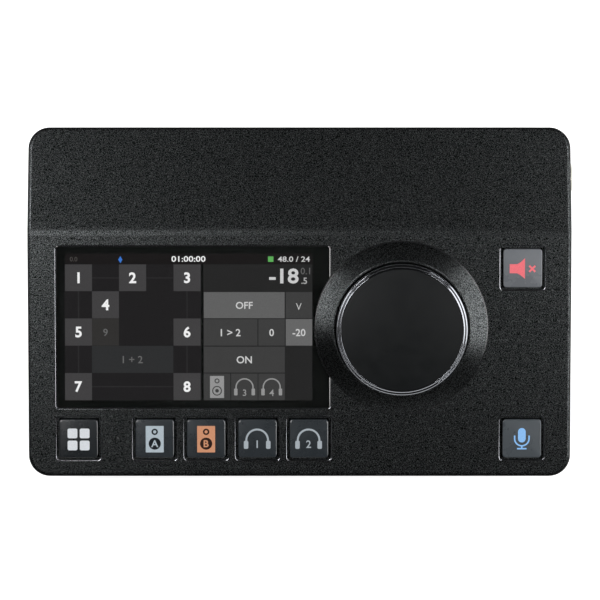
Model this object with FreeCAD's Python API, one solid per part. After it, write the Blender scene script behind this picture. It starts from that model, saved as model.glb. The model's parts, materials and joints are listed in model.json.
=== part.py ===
import FreeCAD, Part
import math
import os
from FreeCAD import Placement, Rotation, Vector

# Desktop studio monitor controller. Millimetres, +X right, +Y to the rear, +Z up.
# The housing is a wedge with two roof planes that meet in a ridge: the long front
# panel carries display, dial and keys, and the short rear roof slopes to the sockets.
# The origin lies on the desk, under the middle of the whole object.

# --- housing ---------------------------------------------------------------------
# Its width and depth are worked out below, from the rows on the panel and at the rear.
CORNER_RADIUS = 8.0
RIDGE_FROM_REAR = 39.3     # ridge line to the rear face
RIDGE_HEIGHT = 50.0        # sharp ridge above the desk
FRONT_SLOPE = 6.0          # degrees, front panel down to the front
REAR_SLOPE = 11.25         # degrees, rear roof down to the rear
RIDGE_RADIUS = 12.0
ROOF_EDGE_RADIUS = 1.4
SIDE_WALL = 2.5
ROOF_WALL = 3.0
FOOT_HEIGHT = 3.0
BASE_THICKNESS = 2.0
REAR_PANEL_THICKNESS = 2.0
REAR_MOUTH_MARGIN = 11.2   # from each side to the rear wall's opening
REAR_MOUTH_SILL = 1.5      # wall left above the base plate, under the opening
REAR_MOUTH_LINTEL = 4.0    # from the sloping roof down to the opening
REAR_PANEL_LAP = 1.4       # rear panel past the opening, behind the wall
FIT = 0.15                 # clearance round a panel, plate or glass in its seat
SCREW_FIT = 0.05           # radial clearance of a screw in its hole
HOLE_RUN_OUT = 0.3         # hole past the end of what goes in it

# --- posts, screws and feet --------------------------------------------------------
POST_RADIUS = 3.0
POST_CLEARANCE = 0.5       # board round a post
POST_INSET = 4.0           # post axis from the inside of the walls
WEB_THICKNESS = 2.0        # web from a post to the side wall
LUG_WIDTH = 6.0            # lugs that take the rear panel's screws
LUG_DEPTH = 7.0
LUG_BOTTOM = 30.0
LUG_INSET = 4.0            # lug axis inside the rear wall's opening
TAB_HEIGHT = 7.5           # tabs folded up from the base plate behind the rear panel
M3_RADIUS = 1.5
M3_HEAD_RADIUS = 2.75
M3_HEAD_HEIGHT = 1.7
BASE_SCREW_LENGTH = 10.0
PANEL_SCREW_LENGTH = 6.0
PANEL_SCREW_UPPER = 34.5
PANEL_SCREW_LOWER = 9.6
FOOT_RADIUS = 8.0
FOOT_TAPER = 1.0
FOOT_STEM_RADIUS = 2.4
FOOT_STEM_LENGTH = 3.2
FOOT_SIDE_INSET = 18.7
FOOT_END_INSET = 17.7
VENT_LENGTH = 22.0
VENT_WIDTH = 3.0
VENT_PITCH = 8.0
VENT_COUNT = 5

# --- display: positions on the front panel are (u, v) from the ridge, v down-slope < 0
SCREEN_WIDTH = 93.6        # lit area of a 4.3 inch panel, 5:3
SCREEN_HEIGHT = 56.2
GLASS_LEFT = 3.25          # glass past the lit area
GLASS_RIGHT = 6.45
GLASS_TOP = 2.5
GLASS_BOTTOM = 2.8
GLASS_THICKNESS = 1.1
GLASS_CORNER = 1.0
GASKET_THICKNESS = 0.3
SCREEN_BORDER = 0.45       # cover opening round the lit area
MODULE_BORDER = 4.2        # frame of the display module round the lit area
MODULE_THICKNESS = 3.2
EDGE_BEVEL = 0.3           # bevel round the glass seat and the key pockets
PAD_SIZE = 10.0
FLEX_WIDTH = 30.0
FLEX_THICKNESS = 0.4

# --- dial -------------------------------------------------------------------------
COLLAR_RADIUS = 32.8
COLLAR_BORE = 25.1
COLLAR_HEIGHT = 5.5
COLLAR_LAND = 0.8          # flat top of the collar
COLLAR_JOINT = 0.15        # land on the cover outside the collar, and again the glass
COLLAR_SCREW_CIRCLE = 28.9
DIAL_RADIUS = 24.7
DIAL_TOP = 10.5            # above the panel
DIAL_UNDERSIDE = 1.1
DIAL_WALL = 2.0
DIAL_DECK = 2.4            # thickness of the top of the dial body
FACE_RADIUS = 22.95
FACE_THICKNESS = 0.8
FACE_RECESS = 0.25
RIM_HEIGHT = 3.2
RIM_SHOULDER = 0.7         # outer bead of the rim below the inner one
HUB_RADIUS = 6.5
HUB_UNDERSIDE = 3.1
GRUB_RADIUS = 1.5
GRUB_LENGTH = 3.0
PRESS_TRAVEL = 0.5
PRESS_SPARE = 0.2          # left under the plunger when the dial is pressed

# --- encoder ----------------------------------------------------------------------
SHAFT_RADIUS = 3.0
SHAFT_RUNNING_FIT = 0.05
ENCODER_SIZE = 13.5
BUSHING_RADIUS = 4.5
BUSHING_PROUD = 2.2
NUT_ACROSS_FLATS = 12.0
NUT_THICKNESS = 1.8
PLUNGER_RADIUS = 2.6
PLUNGER_HEIGHT = 0.8
ENCODER_FLOOR = 0.4

# --- keys -------------------------------------------------------------------------
KEY_SIZE = 14.6
KEY_CORNER = 1.2
KEY_EDGE_BEVEL = 0.5
KEY_PROUD = 1.2
KEY_TRAVEL = 0.8
KEY_SIDE_GAP = 0.3
KEY_WALL = 1.3
KEY_FLANGE = 0.75          # flange outside the cap, under the cover
KEY_FLANGE_HEIGHT = 1.0
KEY_REST_GAP = 0.12
POCKET_SIZE = 16.6
POCKET_DEPTH = 1.6
KEY_GROUP_OFFSET = 28.8    # home key to the first of the four middle keys
KEY_GROUP_PITCH = 19.45
PLUNGER_POST_RADIUS = 2.5
PLUNGER_TIP_RADIUS = 1.4
PLUNGER_TIP_LENGTH = 1.3
SWITCH_SIZE = 7.0
SWITCH_HEIGHT = 3.5
SWITCH_HOLE_FIT = 0.2
GUIDE_THICKNESS = 1.2
GUIDE_WIDTH = 11.6
GUIDE_FIT = 0.1
GUIDE_LEG_RADIUS = 2.0
GUIDE_LEG_INSET = 0.8      # leg axis inside the edge of the bar

# --- boards -----------------------------------------------------------------------
CONTROL_BOARD_DEPTH = 10.0  # top of the control board below the panel
BOARD_THICKNESS = 1.6
CONTROL_BOARD_MARGIN = 2.8
CONTROL_BOARD_REACH = 8.0   # to the rear of the ridge
BOSS_RADIUS = 2.5
BOSS_BEHIND_RIDGE = 4.0
BOSS_BELOW_ROW = 8.75       # lower bosses in front of the key row
BOSS_SPREAD = 15.0          # two lower bosses to each side of the dial's axis
M2_RADIUS = 1.1
M2_HEAD_RADIUS = 2.0
M2_HEAD_HEIGHT = 1.3
M2_LENGTH = 5.0
MAIN_BOARD_GAP = 4.5        # standoff length
MAIN_BOARD_FRONT_GAP = 23.2 # main board to the front wall, and to the rear panel
MAIN_BOARD_REAR_GAP = 9.2
STANDOFF_RADIUS = 2.6
STANDOFF_SIDE_INSET = 9.4
STANDOFF_FRONT_INSET = 8.0
STANDOFF_REAR_INSET = 18.0
LINK_WIDTH = 26.0
LINK_Y = 0.0
LINK_PLUG_DEPTH = 5.0
LINK_PLUG_HEIGHT = 3.0

# --- talkback microphone -----------------------------------------------------------
MIC_PORT_RADIUS = 0.6
MIC_RADIUS = 3.0
MIC_HEIGHT = 2.2
MIC_BOOT_WALL = 1.0

# --- sockets -----------------------------------------------------------------------
SEAT_GAP = 0.2              # sockets above the main board
JACK_BORE = 3.25            # radius for a 6.35 mm plug
JACK_BORE_LENGTH = 30.2
JACK_HEIGHT = 13.0
JACK_WIDTH = 14.0
JACK_DEPTH = 27.5
JACK_PITCH = 13.5           # two jacks, one above the other
JACK_BUSHING_RADIUS = 4.6
JACK_NUT_RADIUS = 5.8       # low round nut with a turned edge
JACK_NUT_CHAMFER = 0.7
JACK_NUT_THICKNESS = 1.2
JACK_TO_LUG = 0.3           # headphone jacks in front of the rear panel's lug
JACK_TO_XLR = 4.0           # gaps along the row of sockets
XLR_TO_PHONES = 0.7
XLR_GAP = 1.0
XLR_COUNT = 4
NETWORK_TO_JACK = 2.5
INLET_TO_NETWORK = 3.0
LUG_TO_INLET = 0.7
XLR_FACE_RADIUS = 11.6
XLR_BLOCK_WIDTH = 26.0
XLR_BLOCK_TOP = 12.6        # above the socket's axis
XLR_DEPTH = 21.0
XLR_AXIS_HEIGHT = 25.0
XLR_CUP_RADIUS = 9.8
XLR_CUP_DEPTH = 16.0
XLR_PIN_RADIUS = 1.2
XLR_PIN_CIRCLE = 4.6
XLR_PIN_LENGTH = 11.0
XLR_SCREW_OFFSET = 9.9
COMBO_SLOT_RADIUS = 9.7
COMBO_INSERT_RADIUS = 7.9
COMBO_SLOT_DEPTH = 11.0
COMBO_DEPTH = 27.0
COMBO_PIN_HOLE = 1.3
COMBO_PIN_CIRCLE = 5.6
NETWORK_WIDTH = 16.0
NETWORK_HEIGHT = 13.6
NETWORK_DEPTH = 20.0
NETWORK_MOUTH_WIDTH = 11.8
NETWORK_MOUTH_HEIGHT = 8.2
NETWORK_MOUTH_DEPTH = 13.0
NETWORK_LATCH_RISE = 1.6
INLET_WIDTH = 9.0
INLET_HEIGHT = 11.0
INLET_DEPTH = 13.0
INLET_BORE = 3.2
INLET_BORE_DEPTH = 9.5
INLET_PIN_RADIUS = 1.05

# --- rows that set the housing's width and depth ----------------------------------------
LEFT_MARGIN = 10.7          # side of the housing to the glass
RIGHT_MARGIN = 10.15        # pockets of the right-hand keys to the side
GLASS_TO_DIAL = 27.05       # right edge of the glass to the dial's axis
COLLAR_TO_KEYS = 4.5
GLASS_BELOW_RIDGE = 5.85    # these four lie along the slope
ROW_BELOW_GLASS = 3.2
FRONT_MARGIN = 6.2          # pockets of the key row to the front

# --- worked out from the values above ------------------------------------------------
GLASS_WIDTH = GLASS_LEFT + SCREEN_WIDTH + GLASS_RIGHT
GLASS_HEIGHT = GLASS_TOP + SCREEN_HEIGHT + GLASS_BOTTOM
PANEL_ROW = (
    LEFT_MARGIN + GLASS_WIDTH + GLASS_TO_DIAL + COLLAR_RADIUS + COLLAR_TO_KEYS + POCKET_SIZE + RIGHT_MARGIN
)
XLR_ROW = XLR_COUNT * XLR_BLOCK_WIDTH + (XLR_COUNT - 1) * XLR_GAP
SOCKET_ROW = (
    REAR_MOUTH_MARGIN + LUG_INSET + LUG_WIDTH / 2 + LUG_TO_INLET + INLET_WIDTH + INLET_TO_NETWORK
    + NETWORK_WIDTH + NETWORK_TO_JACK + JACK_WIDTH + JACK_TO_XLR + XLR_ROW + XLR_TO_PHONES
    + JACK_DEPTH + SIDE_WALL
)
PANEL_LENGTH = GLASS_BELOW_RIDGE + GLASS_HEIGHT + ROW_BELOW_GLASS + POCKET_SIZE + FRONT_MARGIN
HOUSING_WIDTH = max(PANEL_ROW, SOCKET_ROW)
HOUSING_DEPTH = RIDGE_FROM_REAR + PANEL_LENGTH * math.cos(math.radians(FRONT_SLOPE))
HALF_WIDTH = HOUSING_WIDTH / 2
HALF_DEPTH = HOUSING_DEPTH / 2
RIDGE_Y = HALF_DEPTH - RIDGE_FROM_REAR
INNER_HALF_WIDTH = HALF_WIDTH - SIDE_WALL
INNER_FRONT = -HALF_DEPTH + SIDE_WALL
BASE_TOP = FOOT_HEIGHT + BASE_THICKNESS
REAR_FACE = HALF_DEPTH - SIDE_WALL       # inside of the rear wall, face of the rear panel
REAR_SEAT = REAR_FACE - REAR_PANEL_THICKNESS
POST_X = INNER_HALF_WIDTH - POST_INSET
FRONT_POST_Y = INNER_FRONT + POST_INSET
REAR_POST_Y = REAR_FACE - POST_INSET
REAR_MOUTH_HALF_WIDTH = HALF_WIDTH - REAR_MOUTH_MARGIN
PANEL_HALF_WIDTH = REAR_MOUTH_HALF_WIDTH + REAR_PANEL_LAP
LUG_X = REAR_MOUTH_HALF_WIDTH - LUG_INSET
FOOT_X = HALF_WIDTH - FOOT_SIDE_INSET
FOOT_Y = HALF_DEPTH - FOOT_END_INSET
MAIN_BOARD_BOTTOM = BASE_TOP + MAIN_BOARD_GAP
MAIN_BOARD_TOP = MAIN_BOARD_BOTTOM + BOARD_THICKNESS
SOCKET_FLOOR = MAIN_BOARD_TOP + SEAT_GAP
JACK_LOWER_HEIGHT = SOCKET_FLOOR + JACK_HEIGHT / 2
SEAT_DEPTH = GLASS_THICKNESS + GASKET_THICKNESS
NOTCH_RADIUS = COLLAR_RADIUS + COLLAR_JOINT
KEY_OPENING = KEY_SIZE + 2 * KEY_SIDE_GAP
FLANGE_TOP = -ROOF_WALL - KEY_REST_GAP
FLANGE_BOTTOM = FLANGE_TOP - KEY_FLANGE_HEIGHT
SWITCH_TOP = -CONTROL_BOARD_DEPTH + SWITCH_HEIGHT

# places on the panel, from the right-hand side inwards and from the ridge down
KEY_RIGHT_U = HALF_WIDTH - RIGHT_MARGIN - POCKET_SIZE / 2
DIAL_U = KEY_RIGHT_U - POCKET_SIZE / 2 - COLLAR_TO_KEYS - COLLAR_RADIUS
GLASS_U = DIAL_U - GLASS_TO_DIAL - GLASS_WIDTH / 2
GLASS_V = -GLASS_BELOW_RIDGE - GLASS_HEIGHT / 2
DIAL_V = GLASS_V
SCREEN_U = GLASS_U + (GLASS_LEFT - GLASS_RIGHT) / 2
SCREEN_V = GLASS_V + (GLASS_BOTTOM - GLASS_TOP) / 2
KEY_UPPER_V = -GLASS_BELOW_RIDGE - POCKET_SIZE / 2
KEY_ROW_V = GLASS_V - GLASS_HEIGHT / 2 - ROW_BELOW_GLASS - POCKET_SIZE / 2
KEY_HOME_U = GLASS_U - GLASS_WIDTH / 2 + POCKET_SIZE / 2
KEY_GROUP_U = KEY_HOME_U + KEY_GROUP_OFFSET
MIC_U = (KEY_HOME_U + KEY_GROUP_U) / 2
BOSS_UPPER_U = (KEY_HOME_U, 0.0, KEY_RIGHT_U)
BOSS_LOWER_U = (MIC_U, DIAL_U - BOSS_SPREAD, DIAL_U + BOSS_SPREAD)
BOSS_LOWER_V = KEY_ROW_V - BOSS_BELOW_ROW

# places along the rear panel, from the headphone jacks inwards
XLR_PITCH = XLR_BLOCK_WIDTH + XLR_GAP
LAST_XLR_X = HALF_WIDTH - SIDE_WALL - JACK_DEPTH - XLR_TO_PHONES - XLR_BLOCK_WIDTH / 2
XLR_X = [LAST_XLR_X - (XLR_COUNT - 1 - index) * XLR_PITCH for index in range(XLR_COUNT)]
XLR_OUT_X = XLR_X[:2]
COMBO_X = XLR_X[2:]
LINE_JACK_X = XLR_X[0] - XLR_BLOCK_WIDTH / 2 - JACK_TO_XLR - JACK_WIDTH / 2
NETWORK_X = LINE_JACK_X - JACK_WIDTH / 2 - NETWORK_TO_JACK - NETWORK_WIDTH / 2
INLET_X = NETWORK_X - NETWORK_WIDTH / 2 - INLET_TO_NETWORK - INLET_WIDTH / 2
PHONES_Y = REAR_SEAT - LUG_DEPTH - JACK_TO_LUG - JACK_WIDTH / 2
MAIN_BOARD_FRONT = INNER_FRONT + MAIN_BOARD_FRONT_GAP
MAIN_BOARD_REAR = REAR_SEAT - MAIN_BOARD_REAR_GAP
MAIN_BOARD_HALF_WIDTH = INNER_HALF_WIDTH - 2 * POST_RADIUS - CONTROL_BOARD_MARGIN

PANEL = Placement(Vector(0, RIDGE_Y, RIDGE_HEIGHT), Rotation(Vector(1, 0, 0), FRONT_SLOPE))
ORIGIN_SHIFT = Vector(-JACK_NUT_THICKNESS / 2, 0, 0)   # the side nuts widen one side

KEYS = {
    "home": (KEY_HOME_U, KEY_ROW_V),
    "speaker_a": (KEY_GROUP_U, KEY_ROW_V),
    "speaker_b": (KEY_GROUP_U + KEY_GROUP_PITCH, KEY_ROW_V),
    "phones_1": (KEY_GROUP_U + 2 * KEY_GROUP_PITCH, KEY_ROW_V),
    "phones_2": (KEY_GROUP_U + 3 * KEY_GROUP_PITCH, KEY_ROW_V),
    "talkback": (KEY_RIGHT_U, KEY_ROW_V),
    "mute": (KEY_RIGHT_U, KEY_UPPER_V),
}


# --- small tools ---------------------------------------------------------------------
def box(x_range, y_range, z_range):
    size = [high - low for low, high in (x_range, y_range, z_range)]
    return Part.makeBox(*size, Vector(x_range[0], y_range[0], z_range[0]))


def centred_box(width, depth, z_range, x=0.0, y=0.0):
    return box((x - width / 2, x + width / 2), (y - depth / 2, y + depth / 2), z_range)


def disc(radius, z_range, x=0.0, y=0.0):
    return Part.makeCylinder(radius, z_range[1] - z_range[0], Vector(x, y, z_range[0]))


def rounded_wire(width, depth, radius, z, x=0.0, y=0.0):
    """Rectangle with round corners, in a level plane."""
    edges = []
    near = math.sqrt(0.5) * radius
    corners = [(1, 1), (-1, 1), (-1, -1), (1, -1)]
    for index, (sx, sy) in enumerate(corners):
        cx = x + sx * (width / 2 - radius)
        cy = y + sy * (depth / 2 - radius)
        on_x = Vector(cx + sx * radius, cy, z)
        on_y = Vector(cx, cy + sy * radius, z)
        middle = Vector(cx + sx * near, cy + sy * near, z)
        first, last = (on_x, on_y) if sx * sy > 0 else (on_y, on_x)
        edges.append(Part.Arc(first, middle, last).toShape())
        nx, ny = corners[(index + 1) % 4]
        next_x = x + nx * (width / 2 - radius)
        next_y = y + ny * (depth / 2 - radius)
        if nx * ny > 0:
            start = Vector(next_x + nx * radius, next_y, z)
        else:
            start = Vector(next_x, next_y + ny * radius, z)
        edges.append(Part.makeLine(last, start))
    return Part.Wire(edges)


def rounded_prism(width, depth, radius, z_range, x=0.0, y=0.0):
    face = Part.Face(rounded_wire(width, depth, radius, z_range[0], x, y))
    return face.extrude(Vector(0, 0, z_range[1] - z_range[0]))


def flared_prism(width, depth, radius, z_range, bevel, x=0.0, y=0.0):
    """Pocket cutter whose mouth opens by a bevel at the upper end."""
    low, high = z_range
    straight = rounded_prism(width, depth, radius, (low, high), x, y)
    lower = rounded_wire(width, depth, radius, high - bevel, x, y)
    upper = rounded_wire(width + 4 * bevel, depth + 4 * bevel, radius + 2 * bevel, high + bevel, x, y)
    return straight.fuse(Part.makeLoft([lower, upper], True, True))


def revolve(points):
    """Solid of revolution about Z from (radius, height) points."""
    wire = Part.makePolygon([Vector(r, 0, z) for r, z in points + points[:1]])
    return Part.Face(wire).revolve(Vector(0, 0, 0), Vector(0, 0, 1), 360)


def hexagon(across_flats, z_range, x=0.0, y=0.0):
    radius = across_flats / math.sqrt(3)
    angles = [math.radians(60 * i) for i in range(7)]
    points = [Vector(x + radius * math.cos(a), y + radius * math.sin(a), z_range[0]) for a in angles]
    return Part.Face(Part.makePolygon(points)).extrude(Vector(0, 0, z_range[1] - z_range[0]))


def fuse_all(shapes):
    return shapes[0].multiFuse(shapes[1:]).removeSplitter() if len(shapes) > 1 else shapes[0]


def placed(shape, placement):
    result = shape.copy()
    result.Placement = placement.multiply(result.Placement)
    return result


def on_panel(shape):
    """From (u, v, height above the panel) to the housing's frame."""
    return placed(shape, PANEL)


def at_rear(x, height):
    """Socket frame on the rear panel: +Z out to the rear, +Y down."""
    return Placement(Vector(x, REAR_FACE, height), Rotation(Vector(1, 0, 0), -90))


def at_right_side(y, height):
    """Socket frame on the right wall: +Z out to the right, +X down."""
    return Placement(Vector(HALF_WIDTH, y, height), Rotation(Vector(0, 1, 0), 90))


def export(name, shape):
    moved = shape.copy()
    moved.translate(ORIGIN_SHIFT)
    moved.exportStep("parts/" + name + ".step")


# --- housing ---------------------------------------------------------------------
def roof_height(y, depth):
    """Height of a plane that lies a given depth under the two-plane roof."""
    front = math.radians(FRONT_SLOPE)
    rear = math.radians(REAR_SLOPE)
    on_front = RIDGE_HEIGHT + (y - RIDGE_Y) * math.tan(front) - depth / math.cos(front)
    on_rear = RIDGE_HEIGHT - (y - RIDGE_Y) * math.tan(rear) - depth / math.cos(rear)
    return min(on_front, on_rear)


def inner_ridge_y(depth):
    front = math.radians(FRONT_SLOPE)
    rear = math.radians(REAR_SLOPE)
    shift = depth * (1 / math.cos(front) - 1 / math.cos(rear)) / (math.tan(front) + math.tan(rear))
    return RIDGE_Y + shift


def wedge(half_width, y_range, floor, depth):
    """Block under the roof: side outline pulled across the width."""
    front, rear = y_range
    outline = [(front, floor), (rear, floor), (rear, roof_height(rear, depth))]
    if front < inner_ridge_y(depth) < rear:
        ridge = inner_ridge_y(depth)
        outline.append((ridge, roof_height(ridge, depth)))
    outline.append((front, roof_height(front, depth)))
    points = [Vector(-half_width, y, z) for y, z in outline + outline[:1]]
    return Part.Face(Part.makePolygon(points)).extrude(Vector(2 * half_width, 0, 0))


def upright_edges(solid, y_limit):
    """Vertical corner edges in front of a given depth."""
    found = []
    for edge in solid.Edges:
        ends = [vertex.Point for vertex in edge.Vertexes]
        vertical = abs(ends[0].x - ends[1].x) + abs(ends[0].y - ends[1].y) < 1e-6
        if vertical and ends[0].y < y_limit:
            found.append(edge)
    return found


def ridge_edges(solid):
    return [
        edge
        for edge in solid.Edges
        if all(abs(v.Point.y - RIDGE_Y) < 1e-6 and v.Point.z > RIDGE_HEIGHT - 1e-3 for v in edge.Vertexes)
    ]


def roof_border(solid):
    """Edges where the roof planes meet the upright walls."""
    upward = []
    for face in solid.Faces:
        u_low, u_high, v_low, v_high = face.ParameterRange
        normal = face.normalAt((u_low + u_high) / 2, (v_low + v_high) / 2)
        if normal.z > 0.5:
            upward.append(face)
    edges = [edge for face in upward for edge in face.Edges]
    return [edge for edge in edges if sum(edge.isSame(other) for other in edges) == 1]


def housing_block():
    block = wedge(HALF_WIDTH, (-HALF_DEPTH, HALF_DEPTH), FOOT_HEIGHT, 0.0)
    block = block.makeFillet(CORNER_RADIUS, upright_edges(block, HALF_DEPTH + 1))
    block = block.makeFillet(RIDGE_RADIUS, ridge_edges(block))
    return block.makeFillet(ROOF_EDGE_RADIUS, roof_border(block))


def housing_cavity():
    cavity = wedge(INNER_HALF_WIDTH, (INNER_FRONT, REAR_FACE), FOOT_HEIGHT - 1.0, ROOF_WALL)
    cavity = cavity.makeFillet(CORNER_RADIUS - SIDE_WALL, upright_edges(cavity, HALF_DEPTH))
    y_range = (REAR_SEAT, HALF_DEPTH + 1.0)
    mouth = wedge(REAR_MOUTH_HALF_WIDTH, y_range, BASE_TOP + REAR_MOUTH_SILL, REAR_MOUTH_LINTEL)
    return cavity.fuse(mouth)


def post_places():
    return [(sx * POST_X, y) for sx in (-1, 1) for y in (FRONT_POST_Y, REAR_POST_Y)]


def boss_places():
    upper = [(u, BOSS_BEHIND_RIDGE) for u in BOSS_UPPER_U]
    return upper + [(u, BOSS_LOWER_V) for u in BOSS_LOWER_U]


def cover_posts():
    """Posts from the roof to the base, bosses for the control board and lugs for the rear panel."""
    shapes = [disc(POST_RADIUS, (BASE_TOP, RIDGE_HEIGHT), x, y) for x, y in post_places()]
    for x, y in post_places():
        outer = math.copysign(HALF_WIDTH, x)
        y_range = (y - WEB_THICKNESS / 2, y + WEB_THICKNESS / 2)
        shapes.append(box((min(x, outer), max(x, outer)), y_range, (BASE_TOP, RIDGE_HEIGHT)))
    shapes += [on_panel(disc(BOSS_RADIUS, (-CONTROL_BOARD_DEPTH, 0), u, v)) for u, v in boss_places()]
    for x in (-LUG_X, LUG_X):
        shapes.append(
            box(
                (x - LUG_WIDTH / 2, x + LUG_WIDTH / 2), (REAR_SEAT - LUG_DEPTH, REAR_SEAT),
                (LUG_BOTTOM, RIDGE_HEIGHT),
            )
        )
    return fuse_all(shapes)


def panel_screw_places():
    return [(x, height) for x in (-LUG_X, LUG_X) for height in (PANEL_SCREW_LOWER, PANEL_SCREW_UPPER)]


def panel_screw_holes():
    hole = disc(M3_RADIUS + SCREW_FIT, (-PANEL_SCREW_LENGTH - 1, 1))
    return fuse_all([placed(hole, at_rear(x, height)) for x, height in panel_screw_places()])


def glass_seat(grow, notch_radius, z_range):
    """Window outline with the round notch for the dial collar."""
    pane = rounded_prism(
        GLASS_WIDTH + 2 * grow, GLASS_HEIGHT + 2 * grow, GLASS_CORNER + grow, z_range, GLASS_U, GLASS_V
    )
    return pane.cut(disc(notch_radius, (z_range[0] - 1, z_range[1] + 1), DIAL_U, DIAL_V))


def window_cutter():
    seat = flared_prism(
        GLASS_WIDTH + 2 * FIT, GLASS_HEIGHT + 2 * FIT, GLASS_CORNER + FIT, (-SEAT_DEPTH, 0),
        EDGE_BEVEL, GLASS_U, GLASS_V,
    )
    seat = seat.cut(disc(NOTCH_RADIUS, (-ROOF_WALL, 1), DIAL_U, DIAL_V))
    opening = centred_box(
        SCREEN_WIDTH + 2 * SCREEN_BORDER, SCREEN_HEIGHT + 2 * SCREEN_BORDER,
        (-2 * ROOF_WALL, -GLASS_THICKNESS), SCREEN_U, SCREEN_V,
    )
    return seat.fuse(opening)


def key_cutter(u, v):
    pocket = flared_prism(POCKET_SIZE, POCKET_SIZE, KEY_CORNER, (-POCKET_DEPTH, 0), EDGE_BEVEL, u, v)
    opening = centred_box(KEY_OPENING, KEY_OPENING, (-2 * ROOF_WALL, -POCKET_DEPTH / 2), u, v)
    return pocket.fuse(opening)


def collar_screw_places():
    angles = [math.radians(90 + 120 * i) for i in range(3)]
    return [
        (DIAL_U + COLLAR_SCREW_CIRCLE * math.cos(a), DIAL_V + COLLAR_SCREW_CIRCLE * math.sin(a))
        for a in angles
    ]


def top_cover():
    cover = housing_block().cut(housing_cavity())
    room = wedge(HALF_WIDTH - 1, (-HALF_DEPTH + 1, HALF_DEPTH - 1), BASE_TOP, 1.0)
    inside = cover_posts().common(room)
    cover = cover.fuse(inside)
    cutters = [on_panel(window_cutter())]
    cutters += [on_panel(key_cutter(u, v)) for u, v in KEYS.values()]
    encoder_hole = disc(BUSHING_RADIUS + FIT, (-2 * ROOF_WALL, 1), DIAL_U, DIAL_V)
    cutters.append(on_panel(encoder_hole))
    cutters.append(on_panel(disc(MIC_PORT_RADIUS, (-2 * ROOF_WALL, 1), MIC_U, KEY_ROW_V)))
    for u, v in collar_screw_places():
        cutters.append(on_panel(disc(M2_RADIUS + SCREW_FIT, (-2 * ROOF_WALL, 1), u, v)))
    for u, v in boss_places():
        depth = CONTROL_BOARD_DEPTH
        hole = disc(M2_RADIUS + SCREW_FIT, (-depth - 1, -depth + M2_LENGTH - BOARD_THICKNESS), u, v)
        cutters.append(on_panel(hole))
    for x, y in post_places():
        top = BASE_TOP + BASE_SCREW_LENGTH
        cutters.append(disc(M3_RADIUS + SCREW_FIT, (BASE_TOP - 1, top), x, y))
    cutters.append(panel_screw_holes())
    for height in jack_heights():
        hole = disc(JACK_BUSHING_RADIUS + FIT, (-2 * SIDE_WALL, 1))
        cutters.append(placed(hole, at_right_side(PHONES_Y, height)))
    return cover.cut(fuse_all(cutters))


def base_plate():
    half_width = INNER_HALF_WIDTH - FIT
    plate = box((-half_width, half_width), (INNER_FRONT + FIT, REAR_FACE - FIT), (FOOT_HEIGHT, BASE_TOP))
    plate = plate.makeFillet(CORNER_RADIUS - SIDE_WALL - FIT, upright_edges(plate, HALF_DEPTH))
    tab_depth = (REAR_SEAT - BASE_THICKNESS, REAR_SEAT)
    for x in (-LUG_X, LUG_X):
        tab = box((x - LUG_WIDTH / 2, x + LUG_WIDTH / 2), tab_depth, (FOOT_HEIGHT, BASE_TOP + TAB_HEIGHT))
        plate = plate.fuse(tab)
    plate = plate.cut(panel_screw_holes())
    cutters = []
    for x, y in post_places():
        cutters.append(base_screw(x, y, SCREW_FIT))
    for x, y in foot_places():
        cutters.append(disc(FOOT_STEM_RADIUS + SCREW_FIT, (FOOT_HEIGHT - 1, BASE_TOP + 1), x, y))
    for side in (-1, 1):
        for index in range(VENT_COUNT):
            y = (index - (VENT_COUNT - 1) / 2) * VENT_PITCH
            slot = centred_box(
                VENT_LENGTH, VENT_WIDTH, (FOOT_HEIGHT - 1, BASE_TOP + 1), side * HALF_WIDTH / 2, y
            )
            cutters.append(slot)
    return plate.cut(fuse_all(cutters))


def base_screw(x, y, grow=0.0):
    """Countersunk screw from below, flush with the base."""
    head = Part.makeCone(
        M3_HEAD_RADIUS + grow, M3_RADIUS + grow, M3_HEAD_HEIGHT, Vector(x, y, FOOT_HEIGHT)
    )
    shank_top = BASE_TOP + BASE_SCREW_LENGTH - 1.0 + grow
    shank = disc(M3_RADIUS + grow, (FOOT_HEIGHT, shank_top), x, y)
    return head.fuse(shank)


def foot_places():
    return [(sx * FOOT_X, sy * FOOT_Y) for sx in (-1, 1) for sy in (-1, 1)]


def foot(x, y):
    profile = [
        (0, 0),
        (FOOT_RADIUS - FOOT_TAPER, 0),
        (FOOT_RADIUS, FOOT_HEIGHT),
        (FOOT_STEM_RADIUS, FOOT_HEIGHT),
        (FOOT_STEM_RADIUS, FOOT_HEIGHT + FOOT_STEM_LENGTH),
        (0, FOOT_HEIGHT + FOOT_STEM_LENGTH),
    ]
    solid = revolve(profile)
    solid.translate(Vector(x, y, 0))
    return solid


def rear_panel():
    panel = wedge(PANEL_HALF_WIDTH, (REAR_SEAT, REAR_FACE), BASE_TOP, ROOF_WALL + FIT)
    through = (-2 * REAR_PANEL_THICKNESS, 1)
    cutters = [panel_screw_holes()]
    for x in XLR_X:
        place = at_rear(x, XLR_AXIS_HEIGHT)
        cutters.append(placed(disc(XLR_FACE_RADIUS + FIT, through), place))
        for sx, sy in ((-1, 1), (1, -1)):
            hole = disc(M3_RADIUS + SCREW_FIT, through, sx * XLR_SCREW_OFFSET, sy * XLR_SCREW_OFFSET)
            cutters.append(placed(hole, place))
    for height in jack_heights():
        cutters.append(placed(disc(JACK_BUSHING_RADIUS + FIT, through), at_rear(LINE_JACK_X, height)))
    network = centred_box(NETWORK_WIDTH + 2 * FIT, NETWORK_HEIGHT + 2 * FIT, through)
    cutters.append(placed(network, at_rear(NETWORK_X, SOCKET_FLOOR + NETWORK_HEIGHT / 2)))
    inlet = centred_box(INLET_WIDTH + 2 * FIT, INLET_HEIGHT + 2 * FIT, through)
    cutters.append(placed(inlet, at_rear(INLET_X, SOCKET_FLOOR + INLET_HEIGHT / 2)))
    return panel.cut(fuse_all(cutters))


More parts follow.
